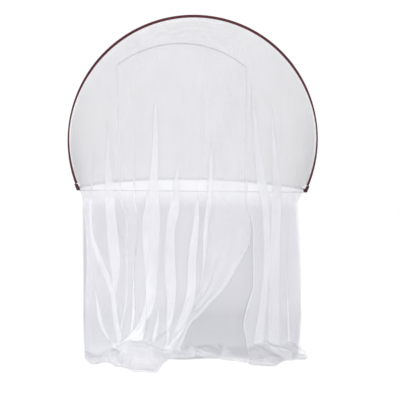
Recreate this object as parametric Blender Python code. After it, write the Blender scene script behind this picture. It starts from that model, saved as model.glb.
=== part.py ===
"""Mosquito net tent that stands on a desk, with a skirt of netting down to the floor.

A bow of spring steel in a folded tape stands on the tabletop. A lower bow lies on the tabletop behind
it and folds up against it on two rivets. Netting closes the back between the two bows. In front it
hangs from the upper bow, over the front of the desk and down to the floor, with a door under an
arched seam. The origin is on the tabletop, midway between the feet; +Z is up and -Y is the front.
"""

import math

import bmesh
import bpy
import numpy as np
from mathutils import Matrix, Vector

# Finishes: colour, roughness, metallic share, and how much of the light they stop
SPRING_STEEL = ((0.55, 0.55, 0.56), 0.35, 1.0, 1.0)
MAROON_TAPE = ((0.10, 0.022, 0.034), 0.80, 0.0, 1.0)
DARK_MOULDING = ((0.045, 0.020, 0.024), 0.50, 0.0, 1.0)
ZINC_STEEL = ((0.50, 0.50, 0.51), 0.40, 1.0, 1.0)
WHITE_WEBBING = ((0.80, 0.80, 0.82), 0.80, 0.0, 1.0)
NETTING = ((0.84, 0.84, 0.88), 0.70, 0.0, 0.5)
SEAM_TAPE = ((0.78, 0.78, 0.82), 0.75, 0.0, 1.0)
ARCH_TAPE = ((0.55, 0.54, 0.57), 0.75, 0.0, 1.0)

# Clearances
SEAT_GAP = 0.0003
BORE_CLEARANCE = 0.0007
WELD_DISTANCE = 0.00003

# Upper bow: a rod bent to part of a circle, both ends on the tabletop
BOW_RADIUS = 0.602
BOW_CENTRE_HEIGHT = 0.238
ROD_RADIUS = 0.0018
ROD_END_HEIGHT = 0.0070
BOW_STEPS = 64
ROD_SIDES = 8

# Folded tape round each rod, open towards the netting
TAPE_WALL = 0.0008
TAPE_REACH = 0.0110
TAPE_START_HEIGHT = 0.0345
TAPE_SLEEVE_GAP = 0.0006
TAPE_OUTER_STEPS = 7
TAPE_INNER_STEPS = 7

# Feet: moulded tips, each with a fork for the lower bow's eye
FOOT_WIDTH = 0.0160
FOOT_DEPTH = 0.0130
FOOT_HEIGHT = 0.0300
FOOT_EDGE_ROUND = 0.0030
FORK_WIDTH = 0.0150
FORK_HEIGHT = 0.0140
FORK_TIP_MARGIN = 0.0060
SLOT_WIDTH = 0.0076
PIN_SETBACK = 0.0175
PIN_HEIGHT = 0.0088
PIN_RADIUS = 0.0020
RIVET_HEAD_RADIUS = 0.0036
RIVET_HEAD_HEIGHT = 0.0012

# Eyes on the ends of the lower bow
EYE_RADIUS = 0.0055
EYE_WIDTH = 0.0070
STEM_RADIUS = 0.0030
SOCKET_SETBACK = 0.0125
SOCKET_RADIUS = 0.0042
SOCKET_LENGTH = 0.0180
SOCKET_DEPTH = 0.0140

# Lower bow, flat on the tabletop at rest
BASE_DEPTH = 0.300
BASE_STEPS = 36

# Strap that ties the feet together and lies on the tabletop
STRAP_WIDTH = 0.0250
STRAP_THICKNESS = 0.0012
STRAP_OVERLAP = 0.0060

# Netting
NET_THICKNESS = 0.0008
TABLE_EDGE_REACH = 0.288
TABLE_CLEARANCE = 0.0040
DROP = 0.730
FALL_LEAN = 0.012
SKIRT_LEFT = 0.518
SKIRT_RIGHT = 0.459
FLOOR_CLEARANCE = 0.0015
LEAF_LIFT = 0.0060
FRONT_SAG = 0.020
EDGE_ROUND = 0.030
FLOOR_ROUND = 0.045
SHEET_GAP = 0.0006

# Door: an arched seam between two upright seams
ARCH_INSET = 0.099
ARCH_LOWERING = 0.030
ARCH_CENTRE_X = -0.066
SEAM_LEFT_TOP_X = -0.377
SEAM_RIGHT_TOP_X = 0.241
LEAF_SPACING = 0.014
SEAM_TAPE_WIDTH = 0.0090
SEAM_TAPE_THICKNESS = 0.0006
SEAM_TAPE_GAP = 0.0008
ARCH_TAPE_WIDTH = 0.0060

# Lines down the fall. Each is given by its shares of the way across the skirt at these shares of the
# drop, and last at the toe on the floor
LEVEL_SHARES = (0.0, 0.14, 0.27, 0.41, 0.55, 0.68, 0.82, 0.90, 1.0)
LEFT_EDGE_SHARES = (0.0, 0.007, 0.013, 0.016, 0.012, 0.009, 0.008, 0.008, 0.008, 0.018)
LEFT_SEAM_SHARES = (0.172, 0.205, 0.202, 0.205, 0.205, 0.198, 0.181, 0.179, 0.177, 0.126)
FIRST_FOLD_SHARES = (0.235, 0.252, 0.274, 0.284, 0.293, 0.296, 0.254, 0.218, 0.205, 0.172)
SECOND_FOLD_SHARES = (0.361, 0.358, 0.352, 0.343, 0.333, 0.329, 0.310, 0.269, 0.250, 0.223)
MIDDLE_FOLD_SHARES = (0.423, 0.423, 0.420, 0.418, 0.423, 0.410, 0.372, 0.330, 0.300, 0.325)
FOURTH_FOLD_SHARES = (0.533, 0.530, 0.522, 0.518, 0.510, 0.480, 0.435, 0.400, 0.370, 0.438)
LEAF_EDGE_SHARES = (0.758, 0.783, 0.779, 0.727, 0.671, 0.586, 0.505, 0.479, 0.443, 0.602)
INNER_EDGE_SHARES = (0.571, 0.571, 0.571, 0.569, 0.561, 0.540, 0.470, 0.440, 0.405, 0.443)
RIGHT_SEAM_SHARES = (0.758, 0.788, 0.795, 0.798, 0.801, 0.776, 0.762, 0.779, 0.788, 0.771)
RIGHT_FOLD_LINE_SHARES = (0.843, 0.842, 0.843, 0.845, 0.847, 0.846, 0.850, 0.852, 0.853, 0.868)
RIGHT_LAST_FOLD_SHARES = (0.945, 0.946, 0.949, 0.952, 0.956, 0.960, 0.964, 0.966, 0.967, 0.991)
RIGHT_EDGE_SHARES = (1.0, 1.013, 1.021, 1.029, 1.034, 1.037, 1.040, 1.041, 1.041, 1.078)

# Puddle: how far the netting spreads over the floor in front of the fall
PUDDLE_REACH = 0.249
PUDDLE_SHARES = (
    (0.0, 0.10),
    (0.043, 0.51),
    (0.121, 0.47),
    (0.155, 0.77),
    (0.190, 0.87),
    (0.343, 1.0),
    (0.399, 0.40),
    (0.527, 0.34),
    (0.601, 0.24),
    (0.654, 0.38),
    (0.735, 0.51),
    (0.802, 0.68),
    (0.903, 0.67),
    (0.948, 0.42),
    (1.0, 0.37),
    (1.053, 0.10),
    (1.09, 0.06),
)

# Main folds of the hanging netting: how high they stand, the length in which they rise below a seam,
# and where their crests run across each sheet
FOLD_HEIGHT = 0.024
LEAF_FOLD_HEIGHT = 0.026
INNER_FOLD_HEIGHT = 0.007
BACK_FOLD_HEIGHT = 0.010
FOLD_RUN = 0.45
LEFT_FOLD_SHARES = (0.14, 0.46, 0.72)
OUTER_LEAF_FOLD_SHARES = (0.11, 0.32, 0.44, 0.61, 0.73, 0.91)
INNER_LEAF_FOLD_SHARES = (0.20, 0.52, 0.82)
RIGHT_FOLD_SHARES = (0.14, 0.36, 0.58, 0.79)
BACK_FOLD_SHARES = (0.16, 0.33, 0.50, 0.67, 0.84)
FOLD_WIDTH_SHARE = 0.40
FLOOR_FOLD_SHARE = 0.45

# Grid counts of the sheets
SLOPE_ROWS = 6
FALL_ROWS = 7
FLOOR_ROWS = 3
TURN_ROWS = 2
GABLE_ROWS = 4
GABLE_COLUMNS = 22
LEFT_COLUMNS = 15
OUTER_LEAF_COLUMNS = 22
INNER_LEAF_COLUMNS = 12
RIGHT_COLUMNS = 18
BACK_COLUMNS = 26
BACK_ROWS = 9

# Worked out from the sizes above
TAPE_GAP = (2 * NET_THICKNESS + 3 * SEAT_GAP) / 2
TAPE_BORE = ROD_RADIUS + TAPE_SLEEVE_GAP
TAPE_OUTSIDE = TAPE_BORE + TAPE_WALL
LIP_RADIUS = BOW_RADIUS - TAPE_REACH
NET_TOP_RADIUS = LIP_RADIUS - 2 * SEAT_GAP - NET_THICKNESS / 2
NET_OFFSET = (NET_THICKNESS + SEAT_GAP) / 2
FOOT_BASE = STRAP_THICKNESS + SEAT_GAP
ARCH_RADIUS = BOW_RADIUS - ARCH_INSET
ARCH_CENTRE_HEIGHT = BOW_CENTRE_HEIGHT - ARCH_LOWERING
SKIRT_WIDTH = SKIRT_LEFT + SKIRT_RIGHT
SEAM_LEFT_SHARE = LEFT_SEAM_SHARES[0]
SEAM_RIGHT_SHARE = RIGHT_SEAM_SHARES[0]
HALF_GAP_SHARE = SHEET_GAP / 2 / SKIRT_WIDTH
SIDES = {"left": -1, "right": 1}


def bow_angle(height):
    """The upper bow's angle, on its right side, at a height above the tabletop."""
    return math.asin((height - BOW_CENTRE_HEIGHT) / BOW_RADIUS)


FOOT_X = BOW_RADIUS * math.cos(bow_angle(ROD_END_HEIGHT))
FOOT_TOP_X = BOW_RADIUS * math.cos(bow_angle(FOOT_BASE + FOOT_HEIGHT))
BOW_LEAN = (FOOT_TOP_X - FOOT_X) / (FOOT_BASE + FOOT_HEIGHT - ROD_END_HEIGHT)
BASE_START_Y = PIN_SETBACK + SOCKET_SETBACK
BASE_RADIUS = (FOOT_X**2 + BASE_DEPTH**2) / (2 * BASE_DEPTH)
BASE_CENTRE_Y = BASE_START_Y + BASE_DEPTH - BASE_RADIUS
BASE_ANGLE = math.acos(FOOT_X / BASE_RADIUS)


def clear_scene():
    """Removes the objects that the scene holds."""
    for item in list(bpy.data.objects):
        bpy.data.objects.remove(item, do_unlink=True)


def make_material(name, finish):
    """A Principled material with one finish."""
    colour, roughness, metallic, alpha = finish
    material = bpy.data.materials.new(name)
    material.use_nodes = True
    shader = material.node_tree.nodes["Principled BSDF"]
    shader.inputs["Base Color"].default_value = (*colour, 1.0)
    shader.inputs["Roughness"].default_value = roughness
    shader.inputs["Metallic"].default_value = metallic
    shader.inputs["Alpha"].default_value = alpha
    return material


def add_object(name, bm, finish, smooth_angle=None):
    """Puts a bmesh into the scene as a named object with a material of its own."""
    bmesh.ops.recalc_face_normals(bm, faces=bm.faces)
    mesh = bpy.data.meshes.new(name)
    bm.to_mesh(mesh)
    bm.free()
    if smooth_angle is not None:
        mesh.shade_smooth()
        mesh.set_sharp_from_angle(angle=smooth_angle)
    item = bpy.data.objects.new(name, mesh)
    item.data.materials.append(make_material(name, finish))
    bpy.context.scene.collection.objects.link(item)
    return item


def mark_cutter(item):
    """Hides a cutting or joining body, which is no piece of the tent."""
    item.hide_render = True
    item.display_type = "WIRE"


def apply_boolean(item, other, operation):
    """Adds a Boolean modifier that cuts with, or joins, a helper body."""
    mark_cutter(other)
    modifier = item.modifiers.new(operation.lower(), "BOOLEAN")
    modifier.operation = operation
    modifier.solver = "EXACT"
    modifier.object = other


def place_on_axis(item, axis_point):
    """Moves an object's origin to a point and keeps its mesh where it is."""
    item.data.transform(Matrix.Translation(-Vector(axis_point)))
    item.location = axis_point


# Bows and their tape


def rod_outline():
    """The rod's round outline, as steps outwards and sideways from its centre line."""
    turns = [2 * math.pi * k / ROD_SIDES for k in range(ROD_SIDES)]
    return [(ROD_RADIUS * math.cos(t), ROD_RADIUS * math.sin(t)) for t in turns]


def tape_outline():
    """The folded tape's outline: round the rod, with two flanges that hold the netting's edge."""
    flange = TAPE_GAP + TAPE_WALL
    outer_end = math.pi - math.asin(flange / TAPE_OUTSIDE)
    inner_end = math.pi - math.asin(TAPE_GAP / TAPE_BORE)
    outer = [outer_end * (2 * k / TAPE_OUTER_STEPS - 1) for k in range(TAPE_OUTER_STEPS + 1)]
    inner = [inner_end * (1 - 2 * k / TAPE_INNER_STEPS) for k in range(TAPE_INNER_STEPS + 1)]
    points = [(-TAPE_REACH, -flange)]
    points += [(TAPE_OUTSIDE * math.cos(t), TAPE_OUTSIDE * math.sin(t)) for t in outer]
    points += [(-TAPE_REACH, flange), (-TAPE_REACH, TAPE_GAP)]
    points += [(TAPE_BORE * math.cos(t), TAPE_BORE * math.sin(t)) for t in inner]
    points += [(-TAPE_REACH, -TAPE_GAP)]
    return points


def sweep_arc(outline, place, centre, axis, angle, steps):
    """Spins a closed outline round an axis into a curved bar with flat ends."""
    bm = bmesh.new()
    corners = [bm.verts.new(place(*point)) for point in outline]
    face = bm.faces.new(corners)
    bmesh.ops.spin(
        bm,
        geom=[face, *face.edges, *face.verts],
        cent=centre,
        axis=axis,
        angle=angle,
        steps=steps,
        use_duplicate=False,
    )
    bmesh.ops.remove_doubles(bm, verts=bm.verts, dist=WELD_DISTANCE)
    return bm


def upper_bow_piece(name, outline, end_height, finish):
    """A bar along the upper bow between two equal heights."""
    start = bow_angle(end_height)
    outwards = Vector((math.cos(start), 0, math.sin(start)))
    centre = Vector((0, 0, BOW_CENTRE_HEIGHT))

    def place(out, side):
        return centre + outwards * (BOW_RADIUS + out) + Vector((0, side, 0))

    bm = sweep_arc(outline, place, centre, (0, -1, 0), math.pi - 2 * start, BOW_STEPS)
    return add_object(name, bm, finish, math.radians(40))


def base_bow_piece(name, outline, setback, upright, finish):
    """A bar along the lower bow that starts a length away from each end."""
    start = BASE_ANGLE + setback / BASE_RADIUS
    outwards = Vector((math.cos(start), math.sin(start), 0))
    centre = Vector((0, BASE_CENTRE_Y, PIN_HEIGHT))

    def place(out, side):
        if upright:
            return centre + outwards * (BASE_RADIUS + side) - Vector((0, 0, out))
        return centre + outwards * (BASE_RADIUS + out) + Vector((0, 0, side))

    bm = sweep_arc(outline, place, centre, (0, 0, 1), math.pi - 2 * start, BASE_STEPS)
    piece = add_object(name, bm, finish, math.radians(40))
    place_on_axis(piece, (0, PIN_SETBACK, PIN_HEIGHT))
    return piece


# Feet, rivets and eyes


def box_mesh(low, high):
    """A box between two corners, as a bmesh."""
    bm = bmesh.new()
    middle = (Vector(low) + Vector(high)) / 2
    size = Vector(high) - Vector(low)
    matrix = Matrix.Translation(middle) @ Matrix.Diagonal((*size, 1))
    bmesh.ops.create_cube(bm, size=1, matrix=matrix)
    return bm


def rod_mesh(start, end, radius, sides):
    """A round bar between two points, as a bmesh."""
    bm = bmesh.new()
    along = Vector(end) - Vector(start)
    turn = along.to_track_quat("Z", "Y").to_matrix().to_4x4()
    matrix = Matrix.Translation((Vector(start) + Vector(end)) / 2) @ turn
    bmesh.ops.create_cone(
        bm,
        cap_ends=True,
        segments=sides,
        radius1=radius,
        radius2=radius,
        depth=along.length,
        matrix=matrix,
    )
    return bm


def make_foot(name, side):
    """A moulded tip that leans with the bow, with a bore for the rod and a fork behind."""
    x = side * FOOT_X
    half = FOOT_WIDTH / 2
    top = FOOT_BASE + FOOT_HEIGHT
    bm = box_mesh((x - half, -FOOT_DEPTH / 2, FOOT_BASE), (x + half, FOOT_DEPTH / 2, top))
    rounded_edges = [e for e in bm.edges if max(v.co.z for v in e.verts) > FOOT_BASE + FOOT_HEIGHT / 2]
    bmesh.ops.bevel(
        bm,
        geom=rounded_edges,
        offset=FOOT_EDGE_ROUND,
        offset_type="OFFSET",
        segments=3,
        profile=0.5,
        affect="EDGES",
        material=-1,
    )
    for vert in bm.verts:
        vert.co.x += side * BOW_LEAN * (vert.co.z - ROD_END_HEIGHT)
    foot = add_object(name, bm, DARK_MOULDING, math.radians(35))

    fork_back = PIN_SETBACK + FORK_TIP_MARGIN
    fork = add_object(
        f"join_fork_{name}",
        box_mesh(
            (x - FORK_WIDTH / 2, 0, FOOT_BASE),
            (x + FORK_WIDTH / 2, fork_back, FOOT_BASE + FORK_HEIGHT),
        ),
        DARK_MOULDING,
    )
    apply_boolean(foot, fork, "UNION")
    slot_front = PIN_SETBACK - EYE_RADIUS - BORE_CLEARANCE
    slot = add_object(
        f"cut_slot_{name}",
        box_mesh(
            (x - SLOT_WIDTH / 2, slot_front, FOOT_BASE - FORK_HEIGHT),
            (x + SLOT_WIDTH / 2, fork_back + FORK_HEIGHT, top),
        ),
        DARK_MOULDING,
    )
    apply_boolean(foot, slot, "DIFFERENCE")
    hole = add_object(
        f"cut_pin_{name}",
        rod_mesh(
            (x - FOOT_WIDTH, PIN_SETBACK, PIN_HEIGHT),
            (x + FOOT_WIDTH, PIN_SETBACK, PIN_HEIGHT),
            PIN_RADIUS + SEAT_GAP,
            16,
        ),
        DARK_MOULDING,
    )
    apply_boolean(foot, hole, "DIFFERENCE")
    bore_bottom = ROD_END_HEIGHT - BORE_CLEARANCE
    bore_top = FOOT_BASE + 2 * FOOT_HEIGHT
    bore = add_object(
        f"cut_bore_{name}",
        rod_mesh(
            (x + side * BOW_LEAN * (bore_bottom - ROD_END_HEIGHT), 0, bore_bottom),
            (x + side * BOW_LEAN * (bore_top - ROD_END_HEIGHT), 0, bore_top),
            ROD_RADIUS + BORE_CLEARANCE,
            16,
        ),
        DARK_MOULDING,
    )
    apply_boolean(foot, bore, "DIFFERENCE")
    return foot


def make_rivet(name, side):
    """A rivet through the fork and the eye, with a domed head at each end."""
    grip = FORK_WIDTH / 2 + SEAT_GAP
    crown = grip + RIVET_HEAD_HEIGHT
    profile = [
        (0, -crown),
        (RIVET_HEAD_RADIUS / 2, -crown + RIVET_HEAD_HEIGHT / 8),
        (RIVET_HEAD_RADIUS, -grip - RIVET_HEAD_HEIGHT / 3),
        (RIVET_HEAD_RADIUS, -grip),
        (PIN_RADIUS, -grip),
        (PIN_RADIUS, grip),
        (RIVET_HEAD_RADIUS, grip),
        (RIVET_HEAD_RADIUS, grip + RIVET_HEAD_HEIGHT / 3),
        (RIVET_HEAD_RADIUS / 2, crown - RIVET_HEAD_HEIGHT / 8),
        (0, crown),
    ]
    centre = Vector((side * FOOT_X, PIN_SETBACK, PIN_HEIGHT))
    bm = bmesh.new()
    line = [bm.verts.new(centre + Vector((along, 0, out))) for out, along in profile]
    edges = [bm.edges.new(pair) for pair in zip(line, line[1:])]
    bmesh.ops.spin(
        bm,
        geom=[*line, *edges],
        cent=centre,
        axis=(1, 0, 0),
        angle=2 * math.pi,
        steps=14,
        use_merge=True,
        use_duplicate=False,
    )
    bmesh.ops.remove_doubles(bm, verts=bm.verts, dist=WELD_DISTANCE)
    return add_object(name, bm, ZINC_STEEL, math.radians(35))


def make_eye(name, side):
    """An eye on the rivet with a short stem and a socket for the lower bow's rod."""
    x = side * FOOT_X
    half = EYE_WIDTH / 2
    pivot = (x, PIN_SETBACK, PIN_HEIGHT)
    bm = rod_mesh((x - half, PIN_SETBACK, PIN_HEIGHT), (x + half, PIN_SETBACK, PIN_HEIGHT), EYE_RADIUS, 20)
    eye = add_object(name, bm, ZINC_STEEL, math.radians(35))
    elbow = Vector((x, BASE_START_Y, PIN_HEIGHT))
    stem_start = PIN_SETBACK + PIN_RADIUS + SEAT_GAP + BORE_CLEARANCE
    stem = add_object(
        f"join_stem_{name}",
        rod_mesh((x, stem_start, PIN_HEIGHT), elbow, STEM_RADIUS, 14),
        ZINC_STEEL,
    )
    apply_boolean(eye, stem, "UNION")
    along = Vector((-side * math.sin(BASE_ANGLE), math.cos(BASE_ANGLE), 0))
    socket = add_object(
        f"join_socket_{name}",
        rod_mesh(elbow - along * STEM_RADIUS / 2, elbow + along * SOCKET_LENGTH, SOCKET_RADIUS, 16),
        ZINC_STEEL,
    )
    apply_boolean(eye, socket, "UNION")
    hole = add_object(
        f"cut_eye_{name}",
        rod_mesh(
            (x - FORK_WIDTH, PIN_SETBACK, PIN_HEIGHT),
            (x + FORK_WIDTH, PIN_SETBACK, PIN_HEIGHT),
            PIN_RADIUS + SEAT_GAP,
            16,
        ),
        ZINC_STEEL,
    )
    apply_boolean(eye, hole, "DIFFERENCE")
    bore_start = elbow + along * (SOCKET_LENGTH - SOCKET_DEPTH)
    bore = add_object(
        f"cut_socket_{name}",
        rod_mesh(bore_start, bore_start + along * 2 * SOCKET_LENGTH, ROD_RADIUS + BORE_CLEARANCE, 12),
        ZINC_STEEL,
    )
    apply_boolean(eye, bore, "DIFFERENCE")
    for body in (eye, stem, socket, hole, bore):
        place_on_axis(body, pivot)
    return eye


def make_strap():
    """The webbing strap between the feet, flat on the tabletop."""
    reach = FOOT_X + STRAP_OVERLAP
    bm = box_mesh((-reach, -STRAP_WIDTH / 2, 0), (reach, STRAP_WIDTH / 2, STRAP_THICKNESS))
    return add_object("tabletop_strap", bm, WHITE_WEBBING)


# Netting


def bow_points(shares, front):
    """Points on the tape's lip for shares of the way across the skirt."""
    foot = bow_angle(TAPE_START_HEIGHT)
    left = math.acos(SEAM_LEFT_TOP_X / NET_TOP_RADIUS)
    right = math.acos(SEAM_RIGHT_TOP_X / NET_TOP_RADIUS)
    stations = (0, SEAM_LEFT_SHARE, SEAM_RIGHT_SHARE, 1)
    turns = np.interp(shares, stations, (math.pi - foot, left, right, foot))
    y = np.full_like(turns, -NET_OFFSET if front else NET_OFFSET)
    return np.stack(
        (NET_TOP_RADIUS * np.cos(turns), y, BOW_CENTRE_HEIGHT + NET_TOP_RADIUS * np.sin(turns)), axis=1
    )


def fall_points(across, level, back=0.0):
    """Points on the fall at one share of the drop; across holds their shares of the skirt's width."""
    low = FLOOR_CLEARANCE - DROP
    y = np.full_like(across, back - TABLE_EDGE_REACH - FALL_LEAN * level)
    z = np.full_like(across, TABLE_CLEARANCE + (low - TABLE_CLEARANCE) * level)
    return np.stack((SKIRT_WIDTH * across - SKIRT_LEFT, y, z), axis=1)


def slope_lengths(shares):
    """Lengths of the slope from the bow to the table's edge."""
    return np.linalg.norm(fall_points(shares, 0.0) - bow_points(shares, True), axis=1)


def arch_share(shares, below=0.0):
    """How far down the slope the arched seam lies, or a length below it."""
    top = bow_points(shares, True)
    run = np.clip((top[:, 0] - ARCH_CENTRE_X) / ARCH_RADIUS, -1, 1)
    height = ARCH_CENTRE_HEIGHT + ARCH_RADIUS * np.sqrt(1 - run**2)
    return (top[:, 2] - height) / (top[:, 2] - TABLE_CLEARANCE) + below / slope_lengths(shares)


def slope_points(shares, down, back=0.0):
    """Points on the slope from the bow to the table's edge; down runs from 0 to 1."""
    top = bow_points(shares, True)
    points = top + (fall_points(shares, 0.0, back) - top) * down[:, None]
    sag = FRONT_SAG * 4 * down * (1 - down) * (top[:, 2] / (BOW_CENTRE_HEIGHT + BOW_RADIUS))
    points[:, 1] += sag
    points[:, 2] -= sag / 4
    return points


def beside(line, distance):
    """A line down the fall, moved sideways by a length."""
    return tuple(share + distance / SKIRT_WIDTH for share in line)


def shares_at(shares, lines, level):
    """Where shares of the cloth lie across the skirt, at one share of the drop."""
    across = [np.interp(level, LEVEL_SHARES, line[:-1]) for line in lines]
    return np.interp(shares, [line[0] for line in lines], across)


def toe_points(shares, lines, floor):
    """The ends of the netting on the floor, in front of points at the foot of the fall."""
    across = np.interp(shares, [line[0] for line in lines], [line[-1] for line in lines])
    stations, reaches = zip(*PUDDLE_SHARES)
    reach = np.maximum(PUDDLE_REACH * np.interp(across, stations, reaches), FLOOR_ROUND)
    return np.stack((SKIRT_WIDTH * across - SKIRT_LEFT, floor[:, 1] - reach, floor[:, 2]), axis=1)


def rounded(before, corner, after):
    """Rows of points that turn a corner, as a quadratic curve."""
    steps = np.linspace(0, 1, TURN_ROWS + 2)[1:-1, None, None]
    return (1 - steps) ** 2 * before + 2 * steps * (1 - steps) * corner + steps**2 * after


def hanging_grid(shares, start, lines, back=0.0):
    """Rows of points from the slope, over the table's edge, down the fall and out over the floor."""
    cut = 1 - EDGE_ROUND / slope_lengths(shares)
    steps = np.linspace(0, 1, SLOPE_ROWS + 1)
    slope = np.array([slope_points(shares, start + (cut - start) * step, back) for step in steps])
    levels = np.linspace(EDGE_ROUND / DROP, 1 - FLOOR_ROUND / DROP, FALL_ROWS + 1)
    falls = np.array([fall_points(shares_at(shares, lines, level), level, back) for level in levels])
    edge_turn = rounded(slope[-1], fall_points(shares, 0.0, back), falls[0])
    floor = fall_points(shares_at(shares, lines, 1.0), 1.0, back)
    toe = toe_points(shares, lines, floor)
    run = np.linalg.norm(toe - floor, axis=1)[:, None]
    out = floor + (toe - floor) * FLOOR_ROUND / 2 / run
    floor_turn = rounded(falls[-1], floor, out)
    spread = np.array([out + (toe - out) * k / FLOOR_ROWS for k in range(FLOOR_ROWS + 1)])
    return np.concatenate((slope, edge_turn, falls, floor_turn, spread))


def outward_normals(grid):
    """Unit normals of a grid of points, towards the front or upwards."""
    down = np.gradient(grid, axis=0)
    across = np.gradient(grid, axis=1)
    normals = np.cross(across, down)
    normals /= np.maximum(np.linalg.norm(normals, axis=2, keepdims=True), 1e-12)
    facing = normals @ np.array((0.0, -1.0, 0.6))
    return normals * np.where(facing < 0, -1, 1)[..., None]


def smooth_step(value):
    """Rises smoothly from 0 to 1 as value does."""
    value = np.clip(value, 0, 1)
    return value * value * (3 - 2 * value)


def crests(across, centres, flat_left, flat_right):
    """Fold heights from 0 to 1 across a sheet, flat beside the seams that it meets."""
    spacing = 1 / len(centres)
    height = np.zeros_like(across)
    for centre in centres:
        height = np.maximum(height, np.exp(-(((across - centre) / (FOLD_WIDTH_SHARE * spacing)) ** 2)))
    if flat_left:
        height = height * smooth_step((across - flat_left) / spacing * 2)
    if flat_right:
        height = height * smooth_step((1 - across - flat_right) / spacing * 2)
    return height


def lying_share(grid):
    """How far each point has come to lie on the floor, from 0 to 1."""
    return smooth_step((FLOOR_ROUND - DROP - grid[:, :, 2]) / FLOOR_ROUND)


def fold_ramp(grid):
    """The share of a fold's height in each row: none at the top seam, all on the fall, less on the floor."""
    steps = np.linalg.norm(np.diff(grid, axis=0), axis=2)
    below = np.concatenate((np.zeros((1, grid.shape[1])), np.cumsum(steps, axis=0)))
    return smooth_step(below / FOLD_RUN) * (1 - (1 - FLOOR_FOLD_SHARE) * lying_share(grid))


def sheet_mesh(grid):
    """A bmesh with one face for each cell of a grid of points."""
    bm = bmesh.new()
    rows, columns = grid.shape[:2]
    verts = [[bm.verts.new(grid[r, c]) for c in range(columns)] for r in range(rows)]
    for r in range(rows - 1):
        for c in range(columns - 1):
            bm.faces.new((verts[r][c], verts[r][c + 1], verts[r + 1][c + 1], verts[r + 1][c]))
    return bm


def add_sheet(name, grid, finish, thickness=NET_THICKNESS):
    """A sheet of netting: a grid of points with a thickness."""
    sheet = add_object(name, sheet_mesh(grid), finish, math.radians(80))
    solid = sheet.modifiers.new("thickness", "SOLIDIFY")
    solid.thickness = thickness
    solid.offset = 0.0
    return sheet


def hanging_sheet(name, lines, columns, folds, height, flat_left=False, flat_right=False, **more):
    """One hanging sheet with its folds, between its first and its last line down the fall."""
    first = lines[1][0] if flat_left else lines[0][0]
    last = lines[-2][0] if flat_right else lines[-1][0]
    shares = np.linspace(first, last, columns + 1)
    shares = np.concatenate(([lines[0][0]] if flat_left else [], shares, [lines[-1][0]] if flat_right else []))
    start = arch_share(shares, SHEET_GAP) if more.get("under_arch") else np.zeros_like(shares)
    grid = hanging_grid(shares, start, lines, more.get("back", 0.0))
    width = shares[-1] - shares[0]
    across = (shares - shares[0]) / width
    crest = crests(across, folds, (first - shares[0]) / width, (shares[-1] - last) / width)
    rise = height * fold_ramp(grid) * crest[None, :]
    folded = grid + outward_normals(grid) * rise[..., None]
    folded[:, :, 2] = np.maximum(folded[:, :, 2], FLOOR_CLEARANCE - DROP)
    folded[:, :, 2] += more.get("lift", 0.0) * lying_share(grid)
    return add_sheet(name, folded, NETTING)


def make_gable():
    """The netting between the bow and the arched seam."""
    ends = (SEAM_LEFT_SHARE + HALF_GAP_SHARE, SEAM_RIGHT_SHARE - HALF_GAP_SHARE)
    shares = np.linspace(*ends, GABLE_COLUMNS + 1)
    bottom = arch_share(shares, -SHEET_GAP)
    grid = np.array([slope_points(shares, bottom * k / GABLE_ROWS) for k in range(GABLE_ROWS + 1)])
    return add_sheet("gable_net", grid, NETTING)


def make_back():
    """The netting that closes the back, from the upper bow's tape to the lower bow's."""
    across = np.linspace(0, 1, BACK_COLUMNS + 1)
    foot = bow_angle(TAPE_START_HEIGHT)
    turns = math.pi - foot + (2 * foot - math.pi) * across
    top = np.stack(
        (
            NET_TOP_RADIUS * np.cos(turns),
            np.full_like(turns, NET_OFFSET),
            BOW_CENTRE_HEIGHT + NET_TOP_RADIUS * np.sin(turns),
        ),
        axis=1,
    )
    start = BASE_ANGLE + SOCKET_LENGTH / BASE_RADIUS
    bends = math.pi - start + (2 * start - math.pi) * across
    lip = PIN_HEIGHT + TAPE_REACH + SEAT_GAP
    bottom = np.stack(
        (
            BASE_RADIUS * np.cos(bends),
            BASE_CENTRE_Y + BASE_RADIUS * np.sin(bends),
            np.full_like(bends, lip),
        ),
        axis=1,
    )
    down = np.linspace(0, 1, BACK_ROWS + 1)[:, None, None]
    grid = top + (bottom - top) * down
    wave = crests(across, BACK_FOLD_SHARES, 1 / BACK_COLUMNS, 1 / BACK_COLUMNS)
    bulge = np.sin(math.pi * down[:, :, 0]) * wave[None, :]
    grid[:, :, 1] -= BACK_FOLD_HEIGHT * bulge
    return add_sheet("back_net", grid, NETTING)


def make_arch_tape():
    """The narrow tape over the arched seam, behind the netting."""
    shares = np.linspace(SEAM_LEFT_SHARE, SEAM_RIGHT_SHARE, GABLE_COLUMNS + 1)
    edges = [arch_share(shares, reach) for reach in (-ARCH_TAPE_WIDTH / 2, ARCH_TAPE_WIDTH / 2)]
    grid = np.array([slope_points(shares, edge) for edge in edges])
    lift = NET_THICKNESS / 2 + SEAT_GAP + SEAM_TAPE_THICKNESS / 2
    return add_sheet("door_arch_tape", grid - outward_normals(grid) * lift, ARCH_TAPE, SEAM_TAPE_THICKNESS)


def make_seam_tape(name, line, reaches):
    """An upright tape beside the door, down to the floor; reaches are its columns' distances from the seam."""
    lines = (beside(line, -SEAM_TAPE_WIDTH), line, beside(line, SEAM_TAPE_WIDTH))
    shares = np.array([side[0] for side in lines])
    start = np.full_like(shares, arch_share(shares, SHEET_GAP)[1])
    grid = hanging_grid(shares, start, lines)[: SLOPE_ROWS + TURN_ROWS + FALL_ROWS + 2]
    columns = []
    for reach in reaches:
        away = grid[:, 2] - grid[:, 1] if reach > 0 else grid[:, 1] - grid[:, 0]
        away = away / np.linalg.norm(away, axis=1, keepdims=True)
        columns.append(grid[:, 1] + away * reach)
    tape = np.stack(columns, axis=1)
    lift = NET_THICKNESS / 2 + SEAM_TAPE_GAP + SEAM_TAPE_THICKNESS / 2
    return add_sheet(name, tape + outward_normals(tape) * lift, SEAM_TAPE, SEAM_TAPE_THICKNESS)


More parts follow.
